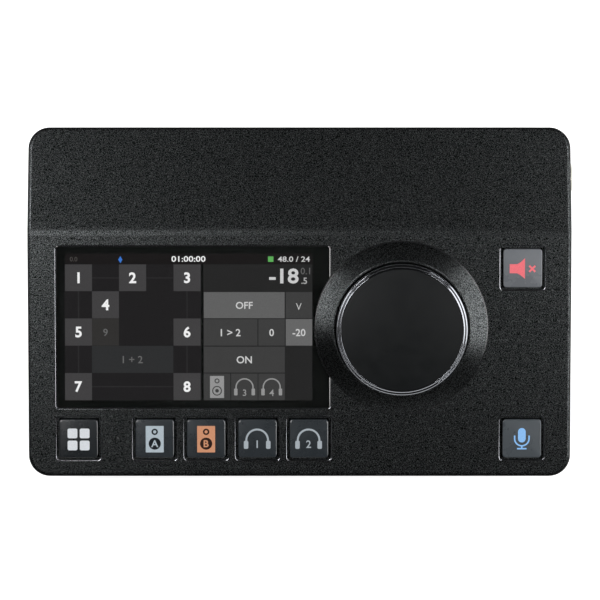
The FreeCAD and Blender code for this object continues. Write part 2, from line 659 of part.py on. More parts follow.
def pan_screw(length):
    """Pan-head M3 along -Z, head standing on the panel face."""
    profile = [
        (0, -length),
        (M3_RADIUS, -length),
        (M3_RADIUS, 0),
        (M3_HEAD_RADIUS, 0),
        (M3_HEAD_RADIUS * 0.8, M3_HEAD_HEIGHT),
        (0, M3_HEAD_HEIGHT),
    ]
    return revolve(profile)


def rear_panel_screws():
    screw = pan_screw(PANEL_SCREW_LENGTH)
    return Part.makeCompound([placed(screw, at_rear(x, height)) for x, height in panel_screw_places()])


# --- display ----------------------------------------------------------------------
def display_glass():
    return on_panel(glass_seat(0.0, NOTCH_RADIUS + FIT, (-GLASS_THICKNESS, 0)))


def display_gasket():
    frame = glass_seat(0.0, NOTCH_RADIUS + FIT, (-SEAT_DEPTH, -GLASS_THICKNESS))
    opening = centred_box(
        SCREEN_WIDTH + 2 * SCREEN_BORDER, SCREEN_HEIGHT + 2 * SCREEN_BORDER,
        (-SEAT_DEPTH - 1, 0), SCREEN_U, SCREEN_V,
    )
    return on_panel(frame.cut(opening))


def display_module():
    """Panel with its lit face raised into the cover's opening."""
    frame = centred_box(
        SCREEN_WIDTH + 2 * MODULE_BORDER, SCREEN_HEIGHT + 2 * MODULE_BORDER,
        (-ROOF_WALL - MODULE_THICKNESS, -ROOF_WALL), SCREEN_U, SCREEN_V,
    )
    face = centred_box(SCREEN_WIDTH, SCREEN_HEIGHT, (-ROOF_WALL, -GLASS_THICKNESS), SCREEN_U, SCREEN_V)
    return on_panel(frame.fuse(face).removeSplitter())


def display_pads():
    gap = (-CONTROL_BOARD_DEPTH, -ROOF_WALL - MODULE_THICKNESS)
    reach_u = SCREEN_WIDTH / 2 - PAD_SIZE
    reach_v = SCREEN_HEIGHT / 2 - PAD_SIZE
    pads = []
    for su in (-1, 1):
        for sv in (-1, 1):
            pad = centred_box(PAD_SIZE, PAD_SIZE, gap, SCREEN_U + su * reach_u, SCREEN_V + sv * reach_v)
            pads.append(on_panel(pad))
    return Part.makeCompound(pads)


def display_flex():
    """Flat cable folded from the module's underside to its plug on the control board."""
    top = -ROOF_WALL - MODULE_THICKNESS
    floor = -CONTROL_BOARD_DEPTH
    fold = PAD_SIZE / 2
    outline = [
        (0, top), (fold, top), (fold, floor), (-fold, floor), (-fold, floor + 3 * FLEX_THICKNESS),
        (-fold / 2, floor + 3 * FLEX_THICKNESS), (-fold / 2, floor + FLEX_THICKNESS),
        (fold - FLEX_THICKNESS, floor + FLEX_THICKNESS), (fold - FLEX_THICKNESS, top - FLEX_THICKNESS),
        (0, top - FLEX_THICKNESS),
    ]
    start = SCREEN_U - FLEX_WIDTH / 2
    points = [Vector(start, SCREEN_V + v, w) for v, w in outline + outline[:1]]
    return on_panel(Part.Face(Part.makePolygon(points)).extrude(Vector(FLEX_WIDTH, 0, 0)))


# --- dial and encoder -----------------------------------------------------------------
def on_dial(shape):
    moved = shape.copy()
    moved.translate(Vector(DIAL_U, DIAL_V, 0))
    return on_panel(moved)


def dial_collar():
    profile = [
        (COLLAR_BORE, 0),
        (COLLAR_RADIUS, 0),
        (COLLAR_RADIUS, 0.5),
        (COLLAR_BORE + COLLAR_LAND, COLLAR_HEIGHT),
        (COLLAR_BORE, COLLAR_HEIGHT),
    ]
    collar = revolve(profile)
    for u, v in collar_screw_places():
        hole = disc(M2_RADIUS + SCREW_FIT, (-1, M2_LENGTH - ROOF_WALL + HOLE_RUN_OUT), u - DIAL_U, v - DIAL_V)
        collar = collar.cut(hole)
    return on_dial(collar)


def under_screw(z_seat):
    """Small pan screw driven upwards, head under the seat height."""
    profile = [
        (0, z_seat - M2_HEAD_HEIGHT),
        (M2_HEAD_RADIUS, z_seat - M2_HEAD_HEIGHT),
        (M2_HEAD_RADIUS, z_seat),
        (M2_RADIUS, z_seat),
        (M2_RADIUS, z_seat + M2_LENGTH),
        (0, z_seat + M2_LENGTH),
    ]
    return revolve(profile)


def collar_screws():
    screw = under_screw(-ROOF_WALL)
    copies = []
    for u, v in collar_screw_places():
        moved = screw.copy()
        moved.translate(Vector(u, v, 0))
        copies.append(on_panel(moved))
    return Part.makeCompound(copies)


def dial_body():
    """Turned cup with a hub that grips the encoder shaft."""
    deck_top = DIAL_TOP - FACE_RECESS - FACE_THICKNESS
    rim_seat = DIAL_TOP - RIM_HEIGHT
    deck_bottom = deck_top - DIAL_DECK
    seat_radius = FACE_RADIUS
    profile = [
        (SHAFT_RADIUS, HUB_UNDERSIDE),
        (HUB_RADIUS, HUB_UNDERSIDE),
        (HUB_RADIUS, deck_bottom),
        (DIAL_RADIUS - DIAL_WALL, deck_bottom),
        (DIAL_RADIUS - DIAL_WALL, DIAL_UNDERSIDE),
        (DIAL_RADIUS, DIAL_UNDERSIDE),
        (DIAL_RADIUS, rim_seat),
        (seat_radius, rim_seat),
        (seat_radius, deck_top),
        (SHAFT_RADIUS, deck_top),
    ]
    body = revolve(profile)
    grub_hole = Part.makeCylinder(
        GRUB_RADIUS, HUB_RADIUS + 1, Vector(0, 0, grub_height()), Vector(1, 0, 0)
    )
    return on_dial(body.cut(grub_hole))


def grub_height():
    deck_bottom = DIAL_TOP - FACE_RECESS - FACE_THICKNESS - DIAL_DECK
    return (HUB_UNDERSIDE + deck_bottom) / 2


def dial_grub_screw():
    grub = Part.makeCylinder(
        GRUB_RADIUS, GRUB_LENGTH, Vector(SHAFT_RADIUS, 0, grub_height()), Vector(1, 0, 0)
    )
    return on_dial(grub.cut(disc(SHAFT_RADIUS, (0, DIAL_TOP))))


def dial_rim():
    """Polished ring with two beads and a groove between them."""
    low = DIAL_TOP - RIM_HEIGHT
    width = DIAL_RADIUS - FACE_RADIUS
    shoulder = DIAL_TOP - RIM_SHOULDER
    profile = [
        (FACE_RADIUS, low),
        (DIAL_RADIUS, low),
        (DIAL_RADIUS, shoulder - 0.2 * width),
        (DIAL_RADIUS - 0.1 * width, shoulder),
        (DIAL_RADIUS - 0.4 * width, shoulder),
        (DIAL_RADIUS - 0.45 * width, shoulder - 0.1 * width),
        (DIAL_RADIUS - 0.55 * width, DIAL_TOP - 0.2 * width),
        (DIAL_RADIUS - 0.7 * width, DIAL_TOP),
        (FACE_RADIUS, DIAL_TOP),
    ]
    return on_dial(revolve(profile))


def dial_face():
    high = DIAL_TOP - FACE_RECESS
    return on_dial(disc(FACE_RADIUS, (high - FACE_THICKNESS, high)))


def encoder_body():
    """Housing on the control board, with the threaded bushing through the cover."""
    housing = centred_box(ENCODER_SIZE, ENCODER_SIZE, (-CONTROL_BOARD_DEPTH, -ROOF_WALL))
    bushing = disc(BUSHING_RADIUS, (-ROOF_WALL, BUSHING_PROUD))
    bore = disc(SHAFT_RADIUS + SHAFT_RUNNING_FIT, (-CONTROL_BOARD_DEPTH + ENCODER_FLOOR, BUSHING_PROUD + 1))
    return on_dial(housing.fuse(bushing).cut(bore).removeSplitter())


def encoder_nut():
    nut = hexagon(NUT_ACROSS_FLATS, (0, NUT_THICKNESS))
    return on_dial(nut.cut(disc(BUSHING_RADIUS + SCREW_FIT, (-1, NUT_THICKNESS + 1))))


def plunger_range():
    low = -CONTROL_BOARD_DEPTH + ENCODER_FLOOR + PRESS_TRAVEL + PRESS_SPARE
    return low, low + PLUNGER_HEIGHT


def encoder_plunger():
    return on_dial(disc(PLUNGER_RADIUS, plunger_range()))


def encoder_shaft():
    low = plunger_range()[1] + SHAFT_RUNNING_FIT
    high = DIAL_TOP - FACE_RECESS - FACE_THICKNESS
    return on_dial(disc(SHAFT_RADIUS, (low, high)))


# --- keys -------------------------------------------------------------------------
def at_key(shape, place):
    moved = shape.copy()
    moved.translate(Vector(place[0], place[1], 0))
    return on_panel(moved)


def key_cap(place):
    """Hollow square cap with a flange that stops under the cover."""
    outer = rounded_prism(KEY_SIZE, KEY_SIZE, KEY_CORNER, (FLANGE_BOTTOM, KEY_PROUD))
    top_edges = [e for e in outer.Edges if all(v.Point.z > KEY_PROUD - 1e-3 for v in e.Vertexes)]
    outer = outer.makeChamfer(KEY_EDGE_BEVEL, top_edges)
    flange_size = KEY_SIZE + 2 * KEY_FLANGE
    flange = centred_box(flange_size, flange_size, (FLANGE_BOTTOM, FLANGE_TOP))
    inner = KEY_SIZE - 2 * KEY_WALL
    hollow = centred_box(inner, inner, (FLANGE_BOTTOM - 1, KEY_PROUD - KEY_WALL))
    return at_key(outer.fuse(flange).cut(hollow), place)


def key_plunger(place):
    """Stem from the underside of the cap through the guide into the switch."""
    inner = KEY_SIZE - 2 * KEY_WALL
    spread = inner - 2 * SCREW_FIT
    plate = centred_box(spread, spread, (KEY_PROUD - 2 * KEY_WALL, KEY_PROUD - KEY_WALL))
    foot_level = SWITCH_TOP + KEY_TRAVEL + KEY_REST_GAP
    stem = disc(PLUNGER_POST_RADIUS, (foot_level, KEY_PROUD - 2 * KEY_WALL))
    tip = disc(PLUNGER_TIP_RADIUS, (foot_level - PLUNGER_TIP_LENGTH, foot_level))
    return at_key(fuse_all([plate, stem, tip]), place)


def key_switch(place):
    """Switch on the control board with a well for the plunger's tip."""
    body = centred_box(SWITCH_SIZE, SWITCH_SIZE, (-CONTROL_BOARD_DEPTH, SWITCH_TOP))
    well_depth = PLUNGER_TIP_LENGTH + HOLE_RUN_OUT
    well = disc(PLUNGER_TIP_RADIUS + SWITCH_HOLE_FIT, (SWITCH_TOP - well_depth, SWITCH_TOP + 1))
    return at_key(body.cut(well), place)


def key_guide():
    """L-shaped frame under the keys: a bar along the row and an arm up the right side."""
    low, high = SWITCH_TOP, SWITCH_TOP + GUIDE_THICKNESS
    left = KEY_HOME_U - GUIDE_WIDTH / 2
    right = KEY_RIGHT_U + GUIDE_WIDTH / 2
    bar = box((left, right), (KEY_ROW_V - GUIDE_WIDTH / 2, KEY_ROW_V + GUIDE_WIDTH / 2), (low, high))
    arm = box((right - GUIDE_WIDTH, right), (KEY_ROW_V, KEY_UPPER_V + GUIDE_WIDTH / 2), (low, high))
    leg_v = KEY_ROW_V + GUIDE_WIDTH / 2 - GUIDE_LEG_INSET
    legs = []
    for u, v in ((left + GUIDE_WIDTH, leg_v), (KEY_RIGHT_U, (KEY_ROW_V + KEY_UPPER_V) / 2)):
        legs.append(disc(GUIDE_LEG_RADIUS, (-CONTROL_BOARD_DEPTH, low), u, v))
    frame = fuse_all([bar, arm] + legs)
    holes = [
        disc(PLUNGER_POST_RADIUS + GUIDE_FIT, (low - 1, high + 1), u, v) for u, v in KEYS.values()
    ]
    mic = disc(MIC_RADIUS + MIC_BOOT_WALL + FIT, (low - 1, high + 1), MIC_U, KEY_ROW_V)
    return on_panel(frame.cut(fuse_all(holes + [mic])))


# --- boards and microphone ---------------------------------------------------------
def control_board():
    low, high = -CONTROL_BOARD_DEPTH - BOARD_THICKNESS, -CONTROL_BOARD_DEPTH
    half_width = INNER_HALF_WIDTH - CONTROL_BOARD_MARGIN
    cosine = math.cos(math.radians(FRONT_SLOPE))
    front = (INNER_FRONT - RIDGE_Y) / cosine + CONTROL_BOARD_MARGIN / 2
    board = on_panel(box((-half_width, half_width), (front, CONTROL_BOARD_REACH), (low, high)))
    cutters = [
        disc(POST_RADIUS + POST_CLEARANCE, (0, RIDGE_HEIGHT), x, FRONT_POST_Y) for x in (-POST_X, POST_X)
    ]
    for u, v in boss_places():
        cutters.append(on_panel(disc(M2_RADIUS + SCREW_FIT, (low - 1, high + 1), u, v)))
    return board.cut(fuse_all(cutters))


def control_board_screws():
    screw = under_screw(-CONTROL_BOARD_DEPTH - BOARD_THICKNESS)
    copies = []
    for u, v in boss_places():
        moved = screw.copy()
        moved.translate(Vector(u, v, 0))
        copies.append(on_panel(moved))
    return Part.makeCompound(copies)


def mic_boot():
    outer = disc(MIC_RADIUS + MIC_BOOT_WALL, (-CONTROL_BOARD_DEPTH, -ROOF_WALL))
    pocket = disc(MIC_RADIUS, (-ROOF_WALL - MIC_HEIGHT, -ROOF_WALL + 1))
    return at_key(outer.cut(pocket), (MIC_U, KEY_ROW_V))


def mic_capsule():
    capsule = disc(MIC_RADIUS - SCREW_FIT, (-ROOF_WALL - MIC_HEIGHT, -ROOF_WALL))
    return at_key(capsule, (MIC_U, KEY_ROW_V))


def standoff_places():
    x = MAIN_BOARD_HALF_WIDTH - STANDOFF_SIDE_INSET
    rows = (MAIN_BOARD_FRONT + STANDOFF_FRONT_INSET, MAIN_BOARD_REAR - STANDOFF_REAR_INSET)
    return [(sx * x, y) for sx in (-1, 1) for y in rows]


def main_board():
    board = box(
        (-MAIN_BOARD_HALF_WIDTH, MAIN_BOARD_HALF_WIDTH), (MAIN_BOARD_FRONT, MAIN_BOARD_REAR),
        (MAIN_BOARD_BOTTOM, MAIN_BOARD_TOP),
    )
    holes = [
        disc(M2_RADIUS + SCREW_FIT, (MAIN_BOARD_BOTTOM - 1, MAIN_BOARD_TOP + 1), x, y)
        for x, y in standoff_places()
    ]
    return board.cut(fuse_all(holes))


def standoffs():
    pillars = []
    for x, y in standoff_places():
        pillar = disc(STANDOFF_RADIUS, (BASE_TOP, MAIN_BOARD_BOTTOM), x, y)
        pillars.append(pillar.cut(disc(M2_RADIUS + SCREW_FIT, (BASE_TOP, MAIN_BOARD_BOTTOM + 1), x, y)))
    return Part.makeCompound(pillars)


def main_board_screws():
    screws = []
    for x, y in standoff_places():
        head = disc(M2_HEAD_RADIUS, (MAIN_BOARD_TOP, MAIN_BOARD_TOP + M2_HEAD_HEIGHT), x, y)
        shank = disc(M2_RADIUS, (MAIN_BOARD_TOP - M2_LENGTH, MAIN_BOARD_TOP), x, y)
        screws.append(head.fuse(shank))
    return Part.makeCompound(screws)


def board_link():
    """Flat cable between the two boards, with a plug at each end."""
    slope = math.radians(FRONT_SLOPE)
    depth = CONTROL_BOARD_DEPTH + BOARD_THICKNESS
    half = LINK_PLUG_DEPTH / 2
    top_rear = roof_height(LINK_Y + half, depth)
    top_front = top_rear - LINK_PLUG_DEPTH * math.tan(slope)
    upper_floor = top_front - LINK_PLUG_HEIGHT
    lower_top = MAIN_BOARD_TOP + LINK_PLUG_HEIGHT
    band = FLEX_THICKNESS / 2
    outline = [
        (-half, MAIN_BOARD_TOP), (half, MAIN_BOARD_TOP), (half, lower_top), (band, lower_top),
        (band, upper_floor), (half, upper_floor), (half, top_rear), (-half, top_front),
        (-half, upper_floor), (-band, upper_floor), (-band, lower_top), (-half, lower_top),
    ]
    points = [Vector(-LINK_WIDTH / 2, LINK_Y + y, z) for y, z in outline + outline[:1]]
    return Part.Face(Part.makePolygon(points)).extrude(Vector(LINK_WIDTH, 0, 0))


# --- sockets ------------------------------------------------------------------------
def jack_heights():
    return [JACK_LOWER_HEIGHT, JACK_LOWER_HEIGHT + JACK_PITCH]


def jack_socket(wall, width, depth):
    """6.35 mm jack with its bushing through a wall; +Z is the way the plug leaves."""
    body = centred_box(width, depth, (-wall - JACK_DEPTH, -wall))
    bushing = disc(JACK_BUSHING_RADIUS, (-wall, JACK_NUT_THICKNESS))
    bore = disc(JACK_BORE, (JACK_NUT_THICKNESS - JACK_BORE_LENGTH, JACK_NUT_THICKNESS + 1))
    return body.fuse(bushing).cut(bore).removeSplitter()


def phones_jack(height):
    return placed(jack_socket(SIDE_WALL, JACK_HEIGHT, JACK_WIDTH), at_right_side(PHONES_Y, height))


def line_jack(height):
    socket = jack_socket(REAR_PANEL_THICKNESS, JACK_WIDTH, JACK_HEIGHT)
    return placed(socket, at_rear(LINE_JACK_X, height))


def jack_nuts():
    nut = revolve([
        (JACK_BUSHING_RADIUS + SCREW_FIT, 0),
        (JACK_NUT_RADIUS, 0),
        (JACK_NUT_RADIUS, JACK_NUT_THICKNESS - JACK_NUT_CHAMFER),
        (JACK_NUT_RADIUS - JACK_NUT_CHAMFER, JACK_NUT_THICKNESS),
        (JACK_BUSHING_RADIUS + SCREW_FIT, JACK_NUT_THICKNESS),
    ])
    places = [at_right_side(PHONES_Y, height) for height in jack_heights()]
    places += [at_rear(LINE_JACK_X, height) for height in jack_heights()]
    return Part.makeCompound([placed(nut, place) for place in places])


def xlr_block(depth):
    """Square block behind the rear panel with the round face through it."""
    half = XLR_BLOCK_WIDTH / 2
    drop = XLR_AXIS_HEIGHT - SOCKET_FLOOR
    block = box((-half, half), (-XLR_BLOCK_TOP, drop), (-REAR_PANEL_THICKNESS - depth, -REAR_PANEL_THICKNESS))
    face = disc(XLR_FACE_RADIUS, (-REAR_PANEL_THICKNESS, 0))
    solid = block.fuse(face)
    for sx, sy in ((-1, 1), (1, -1)):
        hole = disc(
            M3_RADIUS + SCREW_FIT, (-PANEL_SCREW_LENGTH - 1, 1), sx * XLR_SCREW_OFFSET, sy * XLR_SCREW_OFFSET
        )
        solid = solid.cut(hole)
    return solid


def pin_places(circle):
    angles = [math.radians(a) for a in (90, 210, 330)]
    return [(circle * math.cos(a), circle * math.sin(a)) for a in angles]


def output_xlr(x):
    """Male three-pin output: cup with its pins."""
    socket = xlr_block(XLR_DEPTH).cut(disc(XLR_CUP_RADIUS, (-XLR_CUP_DEPTH, 1)))
    pins = [
        disc(XLR_PIN_RADIUS, (-XLR_CUP_DEPTH, -XLR_CUP_DEPTH + XLR_PIN_LENGTH), px, py)
        for px, py in pin_places(XLR_PIN_CIRCLE)
    ]
    return placed(fuse_all([socket] + pins), at_rear(x, XLR_AXIS_HEIGHT))


def combo_input(x):
    """Three-pole input round a 6.35 mm jack."""
    socket = xlr_block(COMBO_DEPTH)
    slot = disc(COMBO_SLOT_RADIUS, (-COMBO_SLOT_DEPTH, 1))
    slot = slot.cut(disc(COMBO_INSERT_RADIUS, (-COMBO_SLOT_DEPTH - 1, 2)))
    holes = [
        disc(COMBO_PIN_HOLE, (-COMBO_SLOT_DEPTH, 1), px, py) for px, py in pin_places(COMBO_PIN_CIRCLE)
    ]
    bore = disc(JACK_BORE, (-REAR_PANEL_THICKNESS - COMBO_DEPTH - 1, 1))
    return placed(socket.cut(fuse_all([slot, bore] + holes)), at_rear(x, XLR_AXIS_HEIGHT))


def connector_screws():
    screws = []
    screw = pan_screw(PANEL_SCREW_LENGTH)
    for x in XLR_X:
        for sx, sy in ((-1, 1), (1, -1)):
            moved = screw.copy()
            moved.translate(Vector(sx * XLR_SCREW_OFFSET, sy * XLR_SCREW_OFFSET, 0))
            screws.append(placed(moved, at_rear(x, XLR_AXIS_HEIGHT)))
    return Part.makeCompound(screws)


def network_socket():
    body = centred_box(NETWORK_WIDTH, NETWORK_HEIGHT, (-NETWORK_DEPTH, 0))
    depth = (-NETWORK_MOUTH_DEPTH, 1)
    mouth = centred_box(NETWORK_MOUTH_WIDTH, NETWORK_MOUTH_HEIGHT, depth)
    latch_foot = NETWORK_MOUTH_HEIGHT / 2
    latch_reach = (latch_foot - NETWORK_LATCH_RISE, latch_foot + NETWORK_LATCH_RISE)
    latch = box((-NETWORK_MOUTH_WIDTH / 4, NETWORK_MOUTH_WIDTH / 4), latch_reach, depth)
    return placed(body.cut(mouth.fuse(latch)), at_rear(NETWORK_X, SOCKET_FLOOR + NETWORK_HEIGHT / 2))


def power_inlet():
    body = centred_box(INLET_WIDTH, INLET_HEIGHT, (-INLET_DEPTH, 0))
    bore = disc(INLET_BORE, (-INLET_BORE_DEPTH, 1))
    pin = disc(INLET_PIN_RADIUS, (-INLET_BORE_DEPTH, -1))
    return placed(body.cut(bore).fuse(pin), at_rear(INLET_X, SOCKET_FLOOR + INLET_HEIGHT / 2))


# --- all pieces ------------------------------------------------------------------------
def pieces():
    lower, upper = jack_heights()
    parts = {
        "top_cover": top_cover(),
        "base_plate": base_plate(),
        "rear_panel": rear_panel(),
        "feet": Part.makeCompound([foot(x, y) for x, y in foot_places()]),
        "base_screws": Part.makeCompound([base_screw(x, y) for x, y in post_places()]),
        "rear_panel_screws": rear_panel_screws(),
        "display_glass": display_glass(),
        "display_gasket": display_gasket(),
        "display_module": display_module(),
        "display_pads": display_pads(),
        "display_flex": display_flex(),
        "dial_collar": dial_collar(),
        "collar_screws": collar_screws(),
        "dial_body": dial_body(),
        "dial_rim": dial_rim(),
        "dial_face": dial_face(),
        "dial_grub_screw": dial_grub_screw(),
        "encoder_body": encoder_body(),
        "encoder_nut": encoder_nut(),
        "encoder_plunger": encoder_plunger(),
        "encoder_shaft": encoder_shaft(),
        "key_switches": Part.makeCompound([key_switch(place) for place in KEYS.values()]),
        "key_guide": key_guide(),
        "control_board": control_board(),
        "control_board_screws": control_board_screws(),
        "mic_boot": mic_boot(),
        "mic_capsule": mic_capsule(),
        "main_board": main_board(),
        "standoffs": standoffs(),
        "main_board_screws": main_board_screws(),
        "board_link": board_link(),
        "phones_jack_1": phones_jack(upper),
        "phones_jack_2": phones_jack(lower),
        "line_jack_left": line_jack(upper),
        "line_jack_right": line_jack(lower),
        "jack_nuts": jack_nuts(),
        "output_xlr_left": output_xlr(XLR_OUT_X[0]),
        "output_xlr_right": output_xlr(XLR_OUT_X[1]),
        "combo_input_1": combo_input(COMBO_X[0]),
        "combo_input_2": combo_input(COMBO_X[1]),
        "connector_screws": connector_screws(),
        "network_socket": network_socket(),
        "power_inlet": power_inlet(),
    }
    for name, place in KEYS.items():
        parts["key_cap_" + name] = key_cap(place)
        parts["key_plunger_" + name] = key_plunger(place)
    return parts


os.makedirs("parts", exist_ok=True)
for node, solid in pieces().items():
    export(node, solid)
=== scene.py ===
import json
import math

import bmesh
import bpy
from mathutils import Matrix, Vector


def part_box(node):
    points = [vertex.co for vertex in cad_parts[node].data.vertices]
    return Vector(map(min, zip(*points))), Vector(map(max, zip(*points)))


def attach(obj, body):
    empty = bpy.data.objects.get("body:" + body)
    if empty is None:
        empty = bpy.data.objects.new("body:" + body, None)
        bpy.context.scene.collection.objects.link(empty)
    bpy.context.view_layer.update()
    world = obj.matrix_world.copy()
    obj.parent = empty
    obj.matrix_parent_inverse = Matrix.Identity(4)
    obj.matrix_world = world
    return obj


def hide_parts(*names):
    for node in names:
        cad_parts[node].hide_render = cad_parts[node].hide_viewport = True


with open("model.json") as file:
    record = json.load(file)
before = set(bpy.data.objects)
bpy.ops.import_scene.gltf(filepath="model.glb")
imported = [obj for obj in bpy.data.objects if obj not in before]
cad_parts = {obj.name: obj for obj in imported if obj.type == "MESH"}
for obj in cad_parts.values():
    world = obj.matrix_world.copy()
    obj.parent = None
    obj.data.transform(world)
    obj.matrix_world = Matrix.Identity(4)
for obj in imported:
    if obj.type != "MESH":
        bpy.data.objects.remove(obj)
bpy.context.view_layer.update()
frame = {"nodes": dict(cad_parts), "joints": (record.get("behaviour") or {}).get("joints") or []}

# --- frames of reference ----------------------------------------------------------
MM = 0.001
KEY_NAMES = ("home", "speaker_a", "speaker_b", "phones_1", "phones_2", "talkback", "mute")
JOINTS = {joint["name"]: joint for joint in frame["joints"]}
OUTWARD = Vector(JOINTS["dial_turn"]["axis"]).normalized()
ACROSS = Vector((1, 0, 0))
UPSLOPE = OUTWARD.cross(ACROSS)
DIAL_CENTRE = Vector(JOINTS["dial_turn"]["pos_m"])
DIAL_U, DIAL_V = 38.5, -36.6           # mm from the middle of the ridge, on the front panel
RIDGE = DIAL_CENTRE - ACROSS * DIAL_U * MM - UPSLOPE * DIAL_V * MM
PANEL_TURN = Matrix((ACROSS, UPSLOPE, OUTWARD)).transposed().to_4x4()

# the camera, straight above
CAMERA = Vector((-0.0004, 0.00067, 1.496))
SENSOR, LENS, PICTURE = 36.0, 230.5, 600
SCREEN_DROP = 0.4                      # pixels that the screen's layout lies lower than it was read
PX = 0.3777                            # mm per pixel on the front panel


def panel(u, v, w=0.0):
    """Matrix from millimetres on the front panel at (u, v, w) to the part's frame."""
    place = RIDGE + (ACROSS * u + UPSLOPE * v + OUTWARD * w) * MM
    return Matrix.Translation(place) @ PANEL_TURN @ Matrix.Scale(MM, 4)


def at_pixel(x, y):
    """(u, v) in mm on the front panel of a pixel of the photograph."""
    focal = LENS / SENSOR * PICTURE
    ray = Vector(((x - PICTURE / 2) / focal, (PICTURE / 2 - SCREEN_DROP - y) / focal, -1.0))
    hit = CAMERA + ray * ((RIDGE - CAMERA).dot(OUTWARD) / ray.dot(OUTWARD)) - RIDGE
    return hit.dot(ACROSS) / MM, hit.dot(UPSLOPE) / MM


def side_frame(centre, axis, up):
    """Matrix from millimetres to the part's frame, +Z along axis; the centre is in mm."""
    z = Vector(axis).normalized()
    x = Vector(up).cross(z).normalized()
    turn = Matrix((x, z.cross(x), z)).transposed().to_4x4()
    return Matrix.Translation(Vector(centre) * MM) @ turn @ Matrix.Scale(MM, 4)


def middle_of(node):
    """Middle of a solid's box, in mm."""
    low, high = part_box(node)
    return (low + high) / 2 / MM


def width_of(node):
    """Width of a solid's box from left to right, in mm."""
    low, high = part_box(node)
    return (high.x - low.x) / MM


# --- mesh tools: a shape is (vertices, faces), in millimetres ---------------------------
ROUND = 192                            # segments round the dial
WELD = 1e-6                            # mm; points nearer than this are one point


def join(shapes):
    verts, faces = [], []
    for shape_verts, shape_faces in shapes:
        start = len(verts)
        verts += list(shape_verts)
        faces += [[start + i for i in face] for face in shape_faces]
    return verts, faces


def moved(shape, x=0.0, y=0.0):
    return [(a + x, b + y, c) for a, b, c in shape[0]], shape[1]


def placed(shape, matrix):
    return [tuple(matrix @ Vector(p)) for p in shape[0]], shape[1]


def stack(rings, closed=False):
    """Skin over rings of equal length; ends are capped unless the rings close on themselves."""
    count = len(rings[0])
    verts = [point for ring in rings for point in ring]
    faces = []
    for index in range(len(rings) if closed else len(rings) - 1):
        low, high = index * count, (index + 1) % len(rings) * count
        for i in range(count):
            j = (i + 1) % count
            faces.append([low + i, low + j, high + j, high + i])
    if not closed:
        faces.append(list(reversed(range(count))))
        faces.append([(len(rings) - 1) * count + i for i in range(count)])
    return verts, faces


def circle(radius, z, count, x=0.0, y=0.0):
    angles = [2 * math.pi * i / count for i in range(count)]
    return [(x + radius * math.cos(a), y + radius * math.sin(a), z) for a in angles]


def lathe(profile, count, closed=False):
    """Solid of revolution; an end on the axis becomes a tiny ring with a cap."""
    return stack([circle(max(r, 0.01), z, count) for r, z in profile], closed)


def rounded_rect(width, height, radius, z, per_corner=6, x=0.0, y=0.0):
    points = []
    for quarter, (sx, sy) in enumerate(((1, 1), (-1, 1), (-1, -1), (1, -1))):
        cx, cy = x + sx * (width / 2 - radius), y + sy * (height / 2 - radius)
        for i in range(per_corner + 1):
            a = math.pi / 2 * (quarter + i / per_corner)
            points.append((cx + radius * math.cos(a), cy + radius * math.sin(a), z))
    return points


def plate(points, low, high):
    """Flat outline, (x, y) points counter-clockwise, as a thin slab."""
    return stack([[(x, y, z) for x, y in points] for z in (low, high)])


def slab(x0, y0, x1, y1, low, high):
    return plate([(x0, y0), (x1, y0), (x1, y1), (x0, y1)], low, high)


def round_slab(cx, cy, width, height, radius, low, high):
    outline = [(x, y) for x, y, _ in rounded_rect(width, height, radius, 0, 4, cx, cy)]
    return plate(outline, low, high)


def arc_band(cx, cy, inner, outer, start, end, low, high):
    """Part of a ring, angles in degrees."""
    steps = 28
    angles = [math.radians(start + (end - start) * i / steps) for i in range(steps + 1)]
    points = [(cx + outer * math.cos(a), cy + outer * math.sin(a)) for a in angles]
    points += [(cx + inner * math.cos(a), cy + inner * math.sin(a)) for a in reversed(angles)]
    return plate(points, low, high)


def ring(cx, cy, inner, outer, low, high, count=40):
    corners = ((inner, low), (outer, low), (outer, high), (inner, high))
    return stack([circle(r, z, count, cx, cy) for r, z in corners], closed=True)


def disc(cx, cy, radius, low, high):
    return stack([circle(radius, z, 40, cx, cy) for z in (low, high)])


def mesh_of(name, shape, weld=None):
    """Mesh of a shape with its normals outward; points nearer than weld are merged."""
    mesh = bpy.data.meshes.new(name)
    mesh.from_pydata([tuple(v) for v in shape[0]], [], shape[1])
    work = bmesh.new()
    work.from_mesh(mesh)
    if weld is not None:
        bmesh.ops.remove_doubles(work, verts=work.verts, dist=weld)
    bmesh.ops.recalc_face_normals(work, faces=work.faces)
    work.to_mesh(mesh)
    work.free()
    return mesh


def linked(name, data):
    obj = bpy.data.objects.new(name, data)
    bpy.context.scene.collection.objects.link(obj)
    return obj


def worked_out(obj):
    """Shape of a text or of an object with modifiers. The object itself is removed."""
    bpy.context.view_layer.update()
    evaluated = obj.evaluated_get(bpy.context.evaluated_depsgraph_get())
    mesh = bpy.data.meshes.new_from_object(evaluated)
    shape = [tuple(v.co) for v in mesh.vertices], [list(p.vertices) for p in mesh.polygons]
    bpy.data.meshes.remove(mesh)
    bpy.data.objects.remove(obj)
    return shape


def lettering(text, cx, cy, height, low, high, bold=0.0, width=None, align="CENTER"):
    """Raised text in the built-in font, scaled to a height and centred on a point."""
    curve = bpy.data.curves.new("lettering", "FONT")
    curve.body, curve.size, curve.offset, curve.extrude = text, 1.0, bold, 0.5
    curve.resolution_u = 3
    points, faces = worked_out(linked("lettering", curve))
    bpy.data.curves.remove(curve)
    x0, x1 = min(x for x, y, z in points), max(x for x, y, z in points)
    y0, y1 = min(y for x, y, z in points), max(y for x, y, z in points)
    scale = height / (y1 - y0)
    stretch = scale if width is None else width / (x1 - x0)
    anchor = {"CENTER": (x0 + x1) / 2, "RIGHT": x1}[align]
    verts = [
        (cx + (x - anchor) * stretch, cy + (y - (y0 + y1) / 2) * scale, high if z > 0 else low)
        for x, y, z in points
    ]
    return verts, faces


